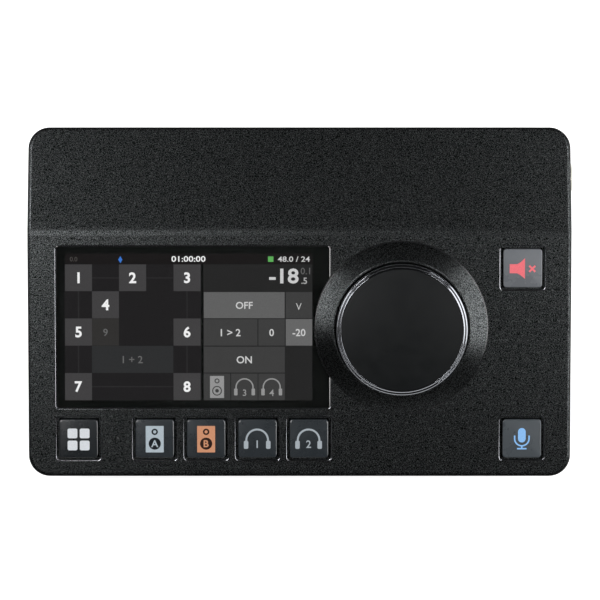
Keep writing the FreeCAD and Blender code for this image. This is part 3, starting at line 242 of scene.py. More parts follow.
def piece(name, shape, material, body, matrix=None, replaces=(), angle=30.0):
    """Piece that rides on a body. Its edges sharper than the angle, in degrees, stay crisp.

    The shape is in mm with a matrix to the part's frame, or already there, in metres."""
    mesh = mesh_of(name, shape, WELD if matrix is not None else WELD * MM)
    if matrix is not None:
        mesh.transform(matrix)
    mesh.shade_smooth()
    mesh.set_sharp_from_angle(angle=math.radians(angle))
    mesh.materials.append(material)
    obj = linked(name, mesh)
    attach(obj, body)
    if replaces:
        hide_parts(*replaces)


# --- materials ------------------------------------------------------------------------
NOISE_LOW, NOISE_HIGH = 0.3, 0.7       # a noise texture's values lie mostly between these


def linear(*srgb):
    """Linear colour from 0-255 sRGB values."""
    values = [c / 255 for c in srgb]
    return tuple(c / 12.92 if c <= 0.04045 else ((c + 0.055) / 1.055) ** 2.4 for c in values) + (1.0,)


def scaled(colour, factor):
    """Colour made darker or lighter, none of its parts over 1."""
    return tuple(min(1.0, c * factor) for c in colour[:3]) + (1.0,)


def add_node(tree, kind, inputs=None, **settings):
    """Shader node; each input is a value or the output of another node."""
    made = tree.nodes.new("ShaderNode" + kind)
    for key, value in settings.items():
        setattr(made, key, value)
    for key, value in (inputs or {}).items():
        if hasattr(value, "is_linked"):
            tree.links.new(value, made.inputs[key])
        else:
            made.inputs[key].default_value = value
    return made


def remap(tree, value, low, high, to_low, to_high):
    """Goes evenly from to_low to to_high while the value goes from low to high."""
    inputs = {"Value": value, "From Min": low, "From Max": high, "To Min": to_low, "To Max": to_high}
    return add_node(tree, "MapRange", inputs).outputs["Result"]


class Finish:
    """One procedural material: a Principled shader and the texture nodes that feed it."""

    def __init__(self, name, **sockets):
        self.material = bpy.data.materials.new(name)
        self.material.use_nodes = True
        self.tree = self.material.node_tree
        self.shader = self.tree.nodes["Principled BSDF"]
        for socket, value in sockets.items():
            self.shader.inputs[socket.replace("_", " ")].default_value = value
        self.where = self.node("TexCoord").outputs["Object"]
        self.normal = None

    def node(self, kind, inputs=None, **settings):
        return add_node(self.tree, kind, inputs, **settings)

    def feed(self, socket, output):
        self.tree.links.new(output, self.shader.inputs[socket])
        return self

    def noise(self, scale, detail=2.0, rough=0.5):
        inputs = {"Vector": self.where, "Scale": scale, "Detail": detail, "Roughness": rough}
        return self.node("TexNoise", inputs).outputs["Fac"]

    def tint(self, socket, noise, dark, light, middle=None):
        """Colour from dark to light, past (position, colour) in the middle where one is given."""
        ramp = self.node("ValToRGB", {"Fac": noise})
        first, last = ramp.color_ramp.elements
        first.position, first.color = NOISE_LOW, dark
        last.position, last.color = NOISE_HIGH, light
        if middle is not None:
            ramp.color_ramp.elements.new(middle[0]).color = middle[1]
        return self.feed(socket, ramp.outputs["Color"])

    def gloss(self, noise, smooth, rough):
        return self.feed("Roughness", remap(self.tree, noise, NOISE_LOW, NOISE_HIGH, smooth, rough))

    def bump(self, noise, depth_mm):
        """Relief; calls add up, the first one lying deepest."""
        inputs = {"Height": noise, "Distance": depth_mm * MM}
        if self.normal is not None:
            inputs["Normal"] = self.normal
        self.normal = self.node("Bump", inputs).outputs["Normal"]
        return self.feed("Normal", self.normal)


def painted(name, tones, scale, depth, roughness, metallic=0.97, steep_shade=1.0):
    """Textured coating: small soft bumps, a dark ground with a few pits and light glints.

    The tones are those of the pits, the ground and the glints. Where the surface slopes
    sharply, the speck pattern is multiplied by the given factor, which leaves it darker, with fewer
    and weaker glints: painted shade on sloping faces such as the housing's sides and the key pockets'
    walls."""
    pit, ground, glint = tones
    ground_at, steep_z, flat_z = 0.47, 0.55, 0.93
    finish = Finish(
        name, Roughness=roughness, Metallic=metallic, Specular_IOR_Level=0.2,
        Specular_Tint=(0.45, 0.45, 0.45, 1.0),
    )
    coarse = finish.noise(scale, 1.0)
    fine = finish.noise(scale * 1.5, 0.0)
    specks = fine
    # painted shade: the more a face slopes, the darker its specks
    if steep_shade < 1.0:
        facing = finish.node("TexCoord").outputs["Normal"]
        height = finish.node("SeparateXYZ", {"Vector": facing}).outputs["Z"]
        share = remap(finish.tree, height, steep_z, flat_z, steep_shade, 1.0)
        specks = finish.node("Math", {0: fine, 1: share}, operation="MULTIPLY").outputs["Value"]
    finish.tint("Base Color", specks, pit, glint, (ground_at, ground))
    finish.gloss(coarse, roughness - 0.005, roughness + 0.025)
    return finish.bump(coarse, depth).bump(fine, depth * 0.4).material


def plain(name, colour, roughness, depth=0.01, scale=900.0, spread=0.16, **sockets):
    """Moulded or plated surface with slight colour drift, micro relief and uneven gloss.

    The depth of the relief is in mm, and the colour drifts by the share given as spread."""
    finish = Finish(name, Roughness=roughness, **sockets)
    drift = finish.noise(scale * 0.05, 3.0, 0.6)
    grain = finish.noise(scale)
    finish.tint("Base Color", drift, scaled(colour, 1 - spread), scaled(colour, 1 + spread))
    finish.gloss(drift, roughness * 0.9, roughness * 1.12)
    return finish.bump(grain, depth).material


def metal(name, colour, roughness, depth=0.004, scale=1500.0, spread=0.1, metallic=1.0):
    return plain(name, colour, roughness, depth, scale, spread, Metallic=metallic)


def lit(name, colour):
    """Screen or key marking that glows in its own colour, with a fine cell pattern."""
    finish = Finish(
        name, Roughness=0.4, Base_Color=(0.004, 0.004, 0.004, 1.0), Specular_IOR_Level=0.0,
        Emission_Strength=1.0,
    )
    cells = finish.noise(3500.0, 0.0)
    return finish.tint("Emission Color", cells, scaled(colour, 0.93), scaled(colour, 1.05)).material


def key_plastic(name, colour, coat=1.0):
    """Key cap: satin plastic, most of them under a thin clear coat."""
    return plain(
        name, colour, 0.28, 0.004, 2600.0, 0.07,
        Specular_IOR_Level=0.42, Coat_Weight=coat, Coat_Roughness=0.12,
    )


def cut_ink(name, colour):
    """Dark parts of a sign, where it lets no light through."""
    return plain(name, colour, 0.35, 0.002, 2600.0, 0.1, Specular_IOR_Level=0.2)


PAINT_SCALE, PAINT_DEPTH, PAINT_GLOSS = 2650.0, 0.028, 0.285
PAINT_TONES = linear(8, 9, 9), linear(27, 28, 28), linear(98, 101, 102)
BASE_TONES = linear(20, 21, 22), linear(28, 29, 30), linear(38, 39, 40)
# the cover carries painted shade on its sloping faces, its sides and the walls of the key pockets
COVER = painted("cover_paint", PAINT_TONES, PAINT_SCALE, PAINT_DEPTH, PAINT_GLOSS, steep_shade=0.72)
COLLAR = painted("collar_paint", PAINT_TONES, PAINT_SCALE, PAINT_DEPTH, PAINT_GLOSS)
BASE = painted("base_paint", BASE_TONES, 3200.0, 0.04, 0.5, metallic=0.0)
POLISHED = metal("polished_edge", linear(150, 152, 156), 0.12, 0.002, 1400.0)
EDGE = plain("collar_edge", linear(24, 25, 26), 0.25, 0.002, 1400.0, 0.1, Specular_IOR_Level=0.8)
RIM = metal("dial_polish", linear(124, 126, 130), 0.09, 0.001, 1400.0, 0.06)
FACE = plain("dial_satin", linear(13, 15, 16), 0.38, 0.002, 4000.0, 0.06, Specular_IOR_Level=0.19)
RUBBER = plain("foot_rubber", linear(30, 30, 31), 0.8, 0.03, 1800.0)
STEEL = metal("screw_steel", linear(70, 71, 73), 0.32, spread=0.16)
NICKEL = metal("nickel", linear(178, 176, 170), 0.24, 0.003, spread=0.08)
GOLD = metal("contact_gold", linear(212, 170, 88), 0.25, 0.002, spread=0.08)
SHELL = metal("socket_shell", linear(150, 150, 150), 0.3, 0.003, spread=0.08)
SOCKET = plain("socket_plastic", linear(24, 24, 25), 0.45, 0.01, 1600.0)
# painted shade: the caps' lower parts, down in the gaps round them, much darker than the key plastic of
# their faces
SKIRT_SHADE = plain("key_skirt", linear(6, 6, 7), 0.7, 0.004, 2600.0, 0.1, Specular_IOR_Level=0.1)
PLUNGER = plain("light_guide", linear(200, 204, 206), 0.3, 0.002, 900.0, 0.05)
FOAM = plain("seal_foam", linear(28, 28, 28), 0.95, 0.08, 2600.0, 0.3)
FILM = plain("cable_film", linear(176, 124, 52), 0.35, 0.004, 900.0, 0.12)
BOARD = plain("circuit_board", linear(22, 74, 48), 0.42, 0.012, 700.0, 0.25)
SWITCH = plain("switch_plastic", linear(40, 40, 42), 0.5, 0.01, 1500.0)
ENCODER = metal("encoder_metal", linear(170, 170, 168), 0.28, scale=1400.0)
MIC = metal("mic_can", linear(168, 168, 168), 0.3, scale=1400.0)
MASK = plain("screen_mask", linear(31, 33, 32), 0.35, 0.001, 900.0, 0.1, Specular_IOR_Level=0.0)
MODULE = metal("display_frame", linear(120, 122, 124), 0.35, scale=1200.0, metallic=0.9)
KEY = key_plastic("key_plastic", linear(36, 41, 45))
# key faces with painted light: the home face is a darker copy of the key plastic (painted shade), the
# mute and talkback faces are lighter copies without the coat (painted reflection of the lamps)
KEY_FACE_SHEEN_AND_SHADE = {
    "home": key_plastic("home_plastic_shaded", linear(21, 25, 28)),
    "mute": key_plastic("mute_plastic_sheen", linear(97, 100, 104), coat=0.0),
    "talkback": key_plastic("talk_plastic_sheen", linear(66, 71, 75), coat=0.0),
}
CUT_INKS = {
    "speaker_a": cut_ink("mark_dark_a", linear(13, 20, 25)),
    "speaker_b": cut_ink("mark_dark_b", linear(38, 18, 11)),
}
CHAMFER = plain(
    "glass_chamfer", linear(20, 21, 22), 0.15, 0.001, 900.0, 0.05, Specular_IOR_Level=1.0,
)
GLASS = plain(
    "screen_glass", (0.98, 0.985, 0.985, 1.0), 0.04, 0.0002, 300.0, 0.01,
    Transmission_Weight=1.0, IOR=1.46,
)

# what each material slot of the solids looks like
BY_SLOT = {
    "cover_paint": COVER, "base_paint": BASE, "foot_rubber": RUBBER, "screw_steel": STEEL,
    "nickel": NICKEL, "screen_glass": GLASS, "seal_foam": FOAM, "display": MODULE,
    "cable_film": FILM, "dial_anodised": FACE, "dial_polish": RIM, "encoder_metal": ENCODER,
    "circuit_board": BOARD, "switch_plastic": SWITCH, "light_guide": PLUNGER,
    "mic_can": MIC, "socket_plastic": SOCKET, "socket_shell": SHELL, "key_plastic": KEY,
}
SOLID_ANGLE = 32                       # degrees; edges of the solids sharper than this stay crisp


def slot_of(node):
    """Slot of a solid, read from the name of the material that it came with."""
    names = [material.name for material in node.data.materials if material]
    longest_first = sorted(BY_SLOT, key=len, reverse=True)
    return next(slot for slot in longest_first if any(name.startswith(slot) for name in names))


for node in frame["nodes"].values():
    finish = BY_SLOT[slot_of(node)]
    node.data.materials.clear()
    node.data.materials.append(finish)
    node.data.shade_smooth()
    node.data.set_sharp_from_angle(angle=math.radians(SOLID_ANGLE))
frame["nodes"]["dial_collar"].data.materials[0] = COLLAR

# --- dial and collar: (radius, height) over the front panel --------------------------------
DIAL_MATRIX = panel(DIAL_U, DIAL_V)
SEAT = 0.02                            # keeps an underside clear of the paint below it
COLLAR_BORE, COLLAR_RADIUS, COLLAR_TOP = 25.1, 32.5, 5.5
EDGE_BORE, EDGE_RADIUS = 32.42, width_of("dial_collar") / 2
DIAL_RADIUS = width_of("dial_rim") / 2
CUP_INSIDE, HUB_RADIUS, SHAFT_BORE = 22.7, 6.5, 3.0
CUP_LOW, HUB_LOW, CUP_CEILING = 1.1, 3.1, 7.05
RIM_LOW, RIM_BORE, BEAD_TOP, RIM_TOP = 7.3, 22.95, 9.8, 10.5
GROOVE_RADIUS, GROOVE_LOW = 23.9, 9.62
FACE_LOW, FACE_RADIUS, FACE_TOP = 9.45, 22.93, 10.25

collar = lathe(
    [
        (COLLAR_BORE, SEAT), (COLLAR_RADIUS, SEAT), (COLLAR_RADIUS, 0.66), (COLLAR_RADIUS - 0.2, 0.84),
        (29.1, 3.18), (COLLAR_BORE + 1.0, COLLAR_TOP - 0.16), (COLLAR_BORE + 0.85, COLLAR_TOP - 0.06),
        (COLLAR_BORE + 0.7, COLLAR_TOP - 0.01), (COLLAR_BORE + 0.1, COLLAR_TOP),
        (COLLAR_BORE + 0.03, COLLAR_TOP - 0.03), (COLLAR_BORE, COLLAR_TOP - 0.1),
    ],
    ROUND, closed=True,
)
piece("collar_ring", collar, COLLAR, "housing", DIAL_MATRIX, ["dial_collar"], 50)

collar_edge = lathe(
    [
        (EDGE_BORE, SEAT), (EDGE_RADIUS, SEAT), (EDGE_RADIUS, 0.3), (EDGE_RADIUS - 0.03, 0.46),
        (EDGE_RADIUS - 0.1, 0.58), (EDGE_RADIUS - 0.2, 0.68), (EDGE_BORE, 0.8),
    ],
    ROUND, closed=True,
)
piece("collar_edge", collar_edge, EDGE, "housing", DIAL_MATRIX, angle=50)

cup = lathe(
    [
        (SHAFT_BORE, HUB_LOW), (HUB_RADIUS, HUB_LOW), (HUB_RADIUS, CUP_CEILING),
        (CUP_INSIDE, CUP_CEILING), (CUP_INSIDE, CUP_LOW + 0.05), (CUP_INSIDE + 0.1, CUP_LOW),
        (DIAL_RADIUS - 0.15, CUP_LOW), (DIAL_RADIUS - 0.02, CUP_LOW + 0.06),
        (DIAL_RADIUS, CUP_LOW + 0.2), (DIAL_RADIUS, RIM_LOW), (RIM_BORE, RIM_LOW),
        (RIM_BORE, FACE_LOW), (SHAFT_BORE, FACE_LOW),
    ],
    ROUND, closed=True,
)
piece("dial_cup", cup, FACE, "dial", DIAL_MATRIX, ["dial_body"])

# the rim: a lower bead outside, a groove, and a higher bead round the face
lower_bead = [
    (DIAL_RADIUS, BEAD_TOP - 0.54), (DIAL_RADIUS - 0.02, BEAD_TOP - 0.47),
    (DIAL_RADIUS - 0.06, BEAD_TOP - 0.41), (DIAL_RADIUS - 0.41, BEAD_TOP - 0.06),
    (DIAL_RADIUS - 0.47, BEAD_TOP - 0.02), (DIAL_RADIUS - 0.55, BEAD_TOP),
    (DIAL_RADIUS - 0.64, BEAD_TOP), (GROOVE_RADIUS + 0.11, BEAD_TOP - 0.03),
]
groove = [
    (GROOVE_RADIUS + 0.07, GROOVE_LOW + 0.08), (GROOVE_RADIUS + 0.04, GROOVE_LOW + 0.02),
    (GROOVE_RADIUS, GROOVE_LOW), (GROOVE_RADIUS - 0.03, GROOVE_LOW + 0.02),
    (GROOVE_RADIUS - 0.06, GROOVE_LOW + 0.12),
]
upper_bead = [
    (GROOVE_RADIUS - 0.12, RIM_TOP - 0.58), (GROOVE_RADIUS - 0.17, RIM_TOP - 0.5),
    (RIM_BORE + 0.35, RIM_TOP - 0.07), (RIM_BORE + 0.28, RIM_TOP - 0.02), (RIM_BORE + 0.2, RIM_TOP),
    (RIM_BORE + 0.08, RIM_TOP), (RIM_BORE + 0.03, RIM_TOP - 0.02), (RIM_BORE, RIM_TOP - 0.08),
]
rim_profile = [(RIM_BORE, RIM_LOW), (DIAL_RADIUS, RIM_LOW)] + lower_bead + groove + upper_bead
rim = lathe(rim_profile, 256, closed=True)
piece("dial_ring", rim, RIM, "dial", DIAL_MATRIX, ["dial_rim"], 50)

face = lathe(
    [
        (0, FACE_LOW), (FACE_RADIUS, FACE_LOW), (FACE_RADIUS, FACE_TOP - 0.09),
        (FACE_RADIUS - 0.06, FACE_TOP - 0.02), (FACE_RADIUS - 0.17, FACE_TOP), (0, FACE_TOP),
    ],
    ROUND,
)
piece("dial_top", face, FACE, "dial", DIAL_MATRIX, ["dial_face"], 50)

# --- key caps: heights over the front panel, at the middle of each key ----------------------
CAP, CAP_CORNER, CAP_EDGE, CAP_TOP = 14.6, 1.2, 0.5, 1.2
FLANGE_LOW, FLANGE_HIGH, FLANGE_SIZE = -4.12, -3.12, width_of("key_cap_home")
HOLLOW, SKIRT_TOP, CRISP = 12.0, -0.1, 0.05
KEY_PLACES = {name: Vector(JOINTS["key_%s_travel" % name]["pos_m"]) for name in KEY_NAMES}


def key_matrix(name):
    return Matrix.Translation(KEY_PLACES[name]) @ PANEL_TURN @ Matrix.Scale(MM, 4)


def key_skirt_shape():
    """Hollow lower part of a cap, with the flange that stops it under the cover."""
    steps = [
        (HOLLOW, CRISP, SKIRT_TOP), (HOLLOW, CRISP, FLANGE_LOW), (FLANGE_SIZE, CRISP, FLANGE_LOW),
        (FLANGE_SIZE, CRISP, FLANGE_HIGH), (CAP, CAP_CORNER, FLANGE_HIGH), (CAP, CAP_CORNER, SKIRT_TOP),
    ]
    return stack([rounded_rect(size, size, corner, z) for size, corner, z in steps], closed=True)


def key_cap_shape():
    """Upper part of a cap, its top edge rounded by a quarter circle."""
    rings = [rounded_rect(CAP, CAP, CAP_CORNER, SKIRT_TOP)]
    for step in range(7):
        a = math.pi / 2 * step / 6
        inset = CAP_EDGE * (1 - math.cos(a))
        size, z = CAP - 2 * inset, CAP_TOP - CAP_EDGE + CAP_EDGE * math.sin(a)
        rings.append(rounded_rect(size, size, CAP_CORNER - inset * 0.6, z))
    return stack(rings)


for name in KEY_NAMES:
    body, matrix = "key_" + name, key_matrix(name)
    # faces with painted shade or painted reflection where listed, the plain key plastic elsewhere
    material = KEY_FACE_SHEEN_AND_SHADE.get(name, KEY)
    piece(
        "key_face_" + name, key_cap_shape(), material, body, matrix,
        ["key_cap_" + name], 40,
    )
    # the lower part of the cap, in painted shade
    piece("key_skirt_" + name, key_skirt_shape(), SKIRT_SHADE, body, matrix)

# --- markings on the keys: millimetres from the middle of the key's face --------------------
INK_LOW, INK_HIGH = CAP_TOP - 0.02, CAP_TOP + 0.02
CUT_HIGH, LETTER_HIGH = CAP_TOP + 0.04, CAP_TOP + 0.06
CROSSING = 0.004                       # between the tops of strokes that cross


def speaker_icon(letter):
    box_width, box_height, box_y = 6.8, 10.1, -0.2
    tweeter_y, woofer_y, woofer_radius = 2.6, -1.9, 2.3
    box = round_slab(0, box_y, box_width, box_height, 0.2, INK_LOW, INK_HIGH)
    tweeter = ring(0, tweeter_y, 0.6, 1.22, INK_LOW, CUT_HIGH)
    woofer = disc(0, woofer_y, woofer_radius, INK_LOW, CUT_HIGH)
    mark = lettering(letter, 0, woofer_y, 2.7, INK_LOW, LETTER_HIGH, 0.02)
    return [box, mark], [tweeter, woofer]


def headphones_icon(numeral):
    middle, band_y, band_inner, band_outer, cup_out = -0.15, -0.6, 3.75, 4.45, 4.1
    shapes = [arc_band(middle, band_y, band_inner, band_outer, 0, 180, INK_LOW, INK_HIGH)]
    for side in (-1, 1):
        x = side * cup_out + middle
        shapes.append(slab(x - 0.35, -2.2, x + 0.35, -0.5, INK_LOW, INK_HIGH))
        shapes.append(round_slab(x + side * 0.1, -2.35, 1.7, 3.1, 0.5, INK_LOW, INK_HIGH))
    shapes.append(lettering(numeral, middle, -2.1, 2.9, INK_LOW, INK_HIGH, 0.012))
    return shapes, []


def mute_icon():
    """Loudspeaker in side view, with a small cross to its right."""
    magnet = [(-2.1, 1.6), (-4.95, 1.6), (-4.95, -1.85), (-2.1, -1.85)]
    horn = [(-0.8, -2.6), (0.1, -3.4), (0.8, -3.95), (0.8, 3.85), (0.1, 3.2), (-0.8, 2.35)]
    cross, reach, half_stroke = Vector((3.55, -0.15)), 1.6, 0.36
    shapes = [plate(magnet + horn, INK_LOW, INK_HIGH)]
    for slope in (-1, 1):
        a = math.radians(45 * slope)
        along = Vector((math.cos(a), math.sin(a))) * reach
        across = Vector((-math.sin(a), math.cos(a))) * half_stroke
        corners = [
            cross - along - across, cross + along - across,
            cross + along + across, cross - along + across,
        ]
        shapes.append(plate([tuple(c) for c in corners], INK_LOW, INK_HIGH + CROSSING * slope))
    return shapes, []


def microphone_icon():
    bow_inner, bow_outer, half_stroke = 2.45, 3.0, 0.275
    shapes = [
        round_slab(0, 1.3, 2.9, 5.5, 1.4, INK_LOW, INK_HIGH),
        arc_band(0, 0.0, bow_inner, bow_outer, 180, 360, INK_LOW, INK_HIGH),
        slab(-0.3, -3.9, 0.3, -2.8, INK_LOW, INK_HIGH + CROSSING),
        slab(-1.8, -4.1, 1.8, -3.55, INK_LOW, INK_HIGH),
    ]
    for side in (-1, 1):
        x = side * (bow_inner + bow_outer) / 2
        shapes.append(slab(x - half_stroke, -0.05, x + half_stroke, 1.2, INK_LOW, INK_HIGH))
    return shapes, []


def home_icon():
    spread, drop, size, corner = 2.3, 0.3, 3.7, 0.6
    squares = [
        round_slab(x, y - drop, size, size, corner, INK_LOW, INK_HIGH)
        for x in (-spread, spread) for y in (-spread, spread)
    ]
    return squares, []


ICONS = {
    "home": (home_icon(), linear(214, 218, 222)),
    "speaker_a": (speaker_icon("A"), linear(172, 184, 192)),
    "speaker_b": (speaker_icon("B"), linear(202, 143, 110)),
    "phones_1": (headphones_icon("1"), linear(164, 172, 178)),
    "phones_2": (headphones_icon("2"), linear(164, 172, 178)),
    "talkback": (microphone_icon(), linear(140, 190, 242)),
    "mute": (mute_icon(), linear(238, 118, 126)),
}
for name, ((marks, cuts), tint) in ICONS.items():
    body, matrix = "key_" + name, key_matrix(name)
    glow = lit("glow_" + name, tint)
    piece("key_mark_" + name, join(marks), glow, body, matrix)
    if cuts:
        piece("key_detail_" + name, join(cuts), CUT_INKS[name], body, matrix)

# --- bevels cut through the paint, round the key pockets and the glass ------------------------
POCKET, BEVEL = 16.6, 0.34
PROUD = 0.012                          # how far a bevel's upper edge stands over the paint
CORNER_STEPS = 8
BEVEL_SECTION = [
    (BEVEL * (1 - math.cos(a)), PROUD - BEVEL * (1 - math.sin(a)))
    for a in (math.pi / 2 * step / 8 for step in range(9))
] + [(BEVEL, -0.02), (0.02, PROUD - BEVEL)]
GLASS_W, GLASS_H, GLASS_CORNER = width_of("display_glass"), 61.5, 1.0
GLASS_U, GLASS_V = middle_of("display_glass").x - RIDGE.x / MM, DIAL_V
FIT = 0.15                             # gap between the glass and the window's edge
NOTCH_RADIUS = 32.95
GLASS_EDGE = [(-0.17, 0.07), (-0.13, 0.08), (0.0, 0.025), (0.13, -0.03), (0.13, -0.12), (-0.17, -0.12)]


def pocket_strip():
    rings = []
    for out, w in BEVEL_SECTION:
        size = POCKET + 2 * out
        rings.append(rounded_rect(size, size, CAP_CORNER + out, w, CORNER_STEPS))
    return stack(rings, closed=True)


def glass_outline(grow, z, notch):
    """Outline of the glass, counter-clockwise: the four corners, then the notch upwards."""
    right = GLASS_U + GLASS_W / 2 + grow
    reach = math.acos((right - DIAL_U) / -notch)
    start, end = math.pi - reach, math.pi + reach
    width, height, corner = GLASS_W + 2 * grow, GLASS_H + 2 * grow, GLASS_CORNER + grow
    points = rounded_rect(width, height, corner, z, CORNER_STEPS, GLASS_U, GLASS_V)
    steps = 48
    for i in range(steps + 1):
        a = end + (start - end) * i / steps
        points.append((DIAL_U + notch * math.cos(a), DIAL_V + notch * math.sin(a), z))
    return points


def window_strip(section, grow):
    """Strip round the window, open where the collar's notch interrupts it."""
    corner_points = 4 * (CORNER_STEPS + 1)
    outlines = [glass_outline(grow + out, w, NOTCH_RADIUS) for out, w in section]
    rings = [outline[-1:] + outline[:corner_points + 1] for outline in outlines]
    count = len(rings[0])
    verts = [point for points in rings for point in points]
    faces = []
    for index in range(len(rings)):
        low, high = index * count, (index + 1) % len(rings) * count
        for i in range(count - 1):
            faces.append([low + i, low + i + 1, high + i + 1, high + i])
    faces.append([i * count for i in range(len(rings))])
    faces.append([i * count + count - 1 for i in reversed(range(len(rings)))])
    return verts, faces


for name in KEY_NAMES:
    strip = pocket_strip()
    matrix = key_matrix(name)
    piece("pocket_edge_" + name, strip, POLISHED, "housing", matrix, angle=25)
window_edge = window_strip(BEVEL_SECTION, FIT)
piece("window_edge", window_edge, POLISHED, "housing", panel(0, 0), angle=25)
glass_edge = window_strip(GLASS_EDGE, 0.0)
piece("glass_edge", glass_edge, CHAMFER, "housing", panel(0, 0), angle=20)

# --- screen: thin layers under the glass, laid out in pixels of the photograph ---------------
GLASS_LOW = -1.1                       # underside of the glass, mm from the front panel
LAYER, CLEAR = 0.012, 0.004            # thickness of a layer, and the gap under the lowest one
BACK, LINES, TILES, SIGNS, CUTS = 0, 1, 2, 3, 4
MASK_INSET, MASK_DEPTH = 0.08, 0.3     # mm, and in layers

# colours, 0-255
STATUS, LEFT, RIGHT, GRID = (27, 25, 25), (32, 31, 32), (38, 38, 38), (43, 42, 43)
TILE, TILE_DIM, BAR, BUTTON = (66, 65, 66), (50, 49, 48), (46, 47, 48), (63, 63, 63)
WIDE, SMALL, MARK = (98, 98, 98), (104, 104, 104), (150, 150, 150)
WHITE, BRIGHT, SOFT, FAINT, DULL = (
    (244, 244, 244), (206, 206, 206), (176, 176, 176), (104, 104, 104), (74, 70, 68),
)
BLUE, GREEN = (60, 118, 206), (96, 176, 92)

# the left half: a grid of numbered tiles
COLUMNS = (64.9, 91.9, 118.9, 146.1, 173.4, 200.6)
ROWS = (264.1, 291.0, 318.2, 345.5, 372.8, 400.2)
CELL_GAP = 0.12
NUMBERED = (
    (0, 0, "1"), (2, 0, "2"), (4, 0, "3"), (1, 1, "4"), (0, 2, "5"), (4, 2, "6"), (0, 4, "7"),
    (4, 4, "8"),
)
NUMERAL_HEIGHT, NUMERAL_BOLD = 11.0, 0.03
DIM_CELL = (1, 2)

# boxes: left, top, right, bottom
STATUS_BOX = (64.9, 253.3, 312.4, 264.1)
LEFT_BOX = (64.9, 264.1, 200.9, 400.2)
RIGHT_BOX = (203.6, 264.1, 312.4, 400.2)
GRID_LINES = (
    (91.9, 277.1, 118.9, 278.3), (146.1, 277.1, 173.4, 278.3), (77.8, 291, 79.0, 318.2),
    (77.8, 345.5, 79.0, 372.8), (186.4, 291, 187.6, 318.2), (186.4, 345.5, 187.6, 372.8),
    (91.9, 385.9, 173.4, 387.1),
)
BAR_BOX = (92.0, 345.7, 173.2, 372.7)
GREEN_BOX = (268.0, 256.2, 273.4, 261.6)
BUTTONS = (
    (WIDE, (203.8, 291.9, 284.6, 318.0)), (BUTTON, (285.8, 291.9, 312.2, 318.0)),
    (SMALL, (285.8, 318.9, 312.2, 345.4)), (BUTTON, (203.8, 318.9, 257.4, 345.4)),
    (BUTTON, (258.4, 318.9, 284.8, 345.4)), (BUTTON, (203.8, 346.5, 284.8, 372.4)),
    (BUTTON, (203.8, 373.4, 230.2, 400.0)), (BUTTON, (231.2, 373.4, 257.6, 400.0)),
    (BUTTON, (258.4, 373.4, 284.8, 400.0)),
)

# colour, text, x, y, height, boldness, width where it is set, and where in the text x lies
TEXTS = (
    (FAINT, "9", 105.4, 332.2, 7.4, 0.01, None, "CENTER"),
    (FAINT, "1 + 2", 132.6, 359.4, 7.4, 0.01, None, "CENTER"),
    (WHITE, "01:00:00", 188.4, 258.7, 5.8, 0.015, 34.0, "CENTER"),
    (DULL, "0.0", 73.5, 258.9, 4.6, 0.01, None, "CENTER"),
    (BRIGHT, "48.0 / 24", 293.8, 258.9, 5.4, 0.01, 32.0, "CENTER"),
    (BRIGHT, "-18", 298.6, 275.8, 15.2, 0.022, 29.4, "RIGHT"),
    (FAINT, "0.1", 305.4, 270.8, 6.6, 0.0, None, "CENTER"),
    (SOFT, ".5", 304.2, 280.6, 6.4, 0.015, None, "CENTER"),
    (BRIGHT, "OFF", 244.2, 305.2, 7.2, 0.015, None, "CENTER"),
    (BRIGHT, "1 > 2", 230.6, 332.4, 7.4, 0.015, None, "CENTER"),
    (BRIGHT, "0", 271.6, 332.4, 7.4, 0.015, None, "CENTER"),
    (BRIGHT, "-20", 299.0, 332.4, 7.4, 0.015, None, "CENTER"),
    (BRIGHT, "ON", 244.2, 359.6, 7.4, 0.015, None, "CENTER"),
)

# middles of the signs
DIAMOND_AT = (120.2, 259.4)
ARROW_AT = (298.8, 308.0)
SPEAKER_AT = (217.0, 386.8)
HEADPHONES_AT = (((244.5, 387.6), "3"), ((271.7, 387.6), "4"))

screen_shapes = {}


def at_layer(index):
    return GLASS_LOW + CLEAR + index * LAYER


def add(colour, *shapes):
    screen_shapes.setdefault(colour, []).extend(shapes)


def tile(box, layer):
    left, top, right, bottom = box
    u0, v0 = at_pixel(left, bottom)
    u1, v1 = at_pixel(right, top)
    return slab(u0, v0, u1, v1, at_layer(layer), at_layer(layer + 1))


def cell(column, row):
    left, top = COLUMNS[column] + CELL_GAP, ROWS[row] + CELL_GAP
    right, bottom = COLUMNS[column + 1] - CELL_GAP, ROWS[row + 1] - CELL_GAP
    return tile((left, top, right, bottom), TILES)


def words(text, x, y, height, bold, width=None, align="CENTER"):
    """Text on the layer of signs; its place, height and width are in pixels."""
    u, v = at_pixel(x, y)
    width_mm = None if width is None else width * PX
    low, high = at_layer(SIGNS), at_layer(CUTS)
    return lettering(text, u, v, height * PX, low, high, bold, width_mm, align)


def numbered_cells():
    for column, row, numeral in NUMBERED:
        add(TILE, cell(column, row))
        x = (COLUMNS[column] + COLUMNS[column + 1]) / 2
        y = (ROWS[row] + ROWS[row + 1]) / 2
        add(WHITE, words(numeral, x, y, NUMERAL_HEIGHT, NUMERAL_BOLD))
    add(TILE_DIM, cell(*DIM_CELL))


def small_signs():
    """A diamond on the status line, and an arrow of two strokes that points down."""
    half_width, half_height = 0.8, 1.35
    u, v = at_pixel(*DIAMOND_AT)
    diamond = [(u - half_width, v), (u, v - half_height), (u + half_width, v), (u, v + half_height)]
    add(BLUE, plate(diamond, at_layer(TILES), at_layer(SIGNS)))
    inside, outside, rise, tip = 0.75, 1.05, 1.9, 0.75
    u, v = at_pixel(*ARROW_AT)
    for side in (-1, 1):
        stroke = [(u, v), (u + side * inside, v + rise), (u + side * outside, v + rise), (u, v - tip)]
        top = at_layer(CUTS + 0.1 * side)
        add(BRIGHT, plate(stroke if side < 0 else stroke[::-1], at_layer(SIGNS), top))


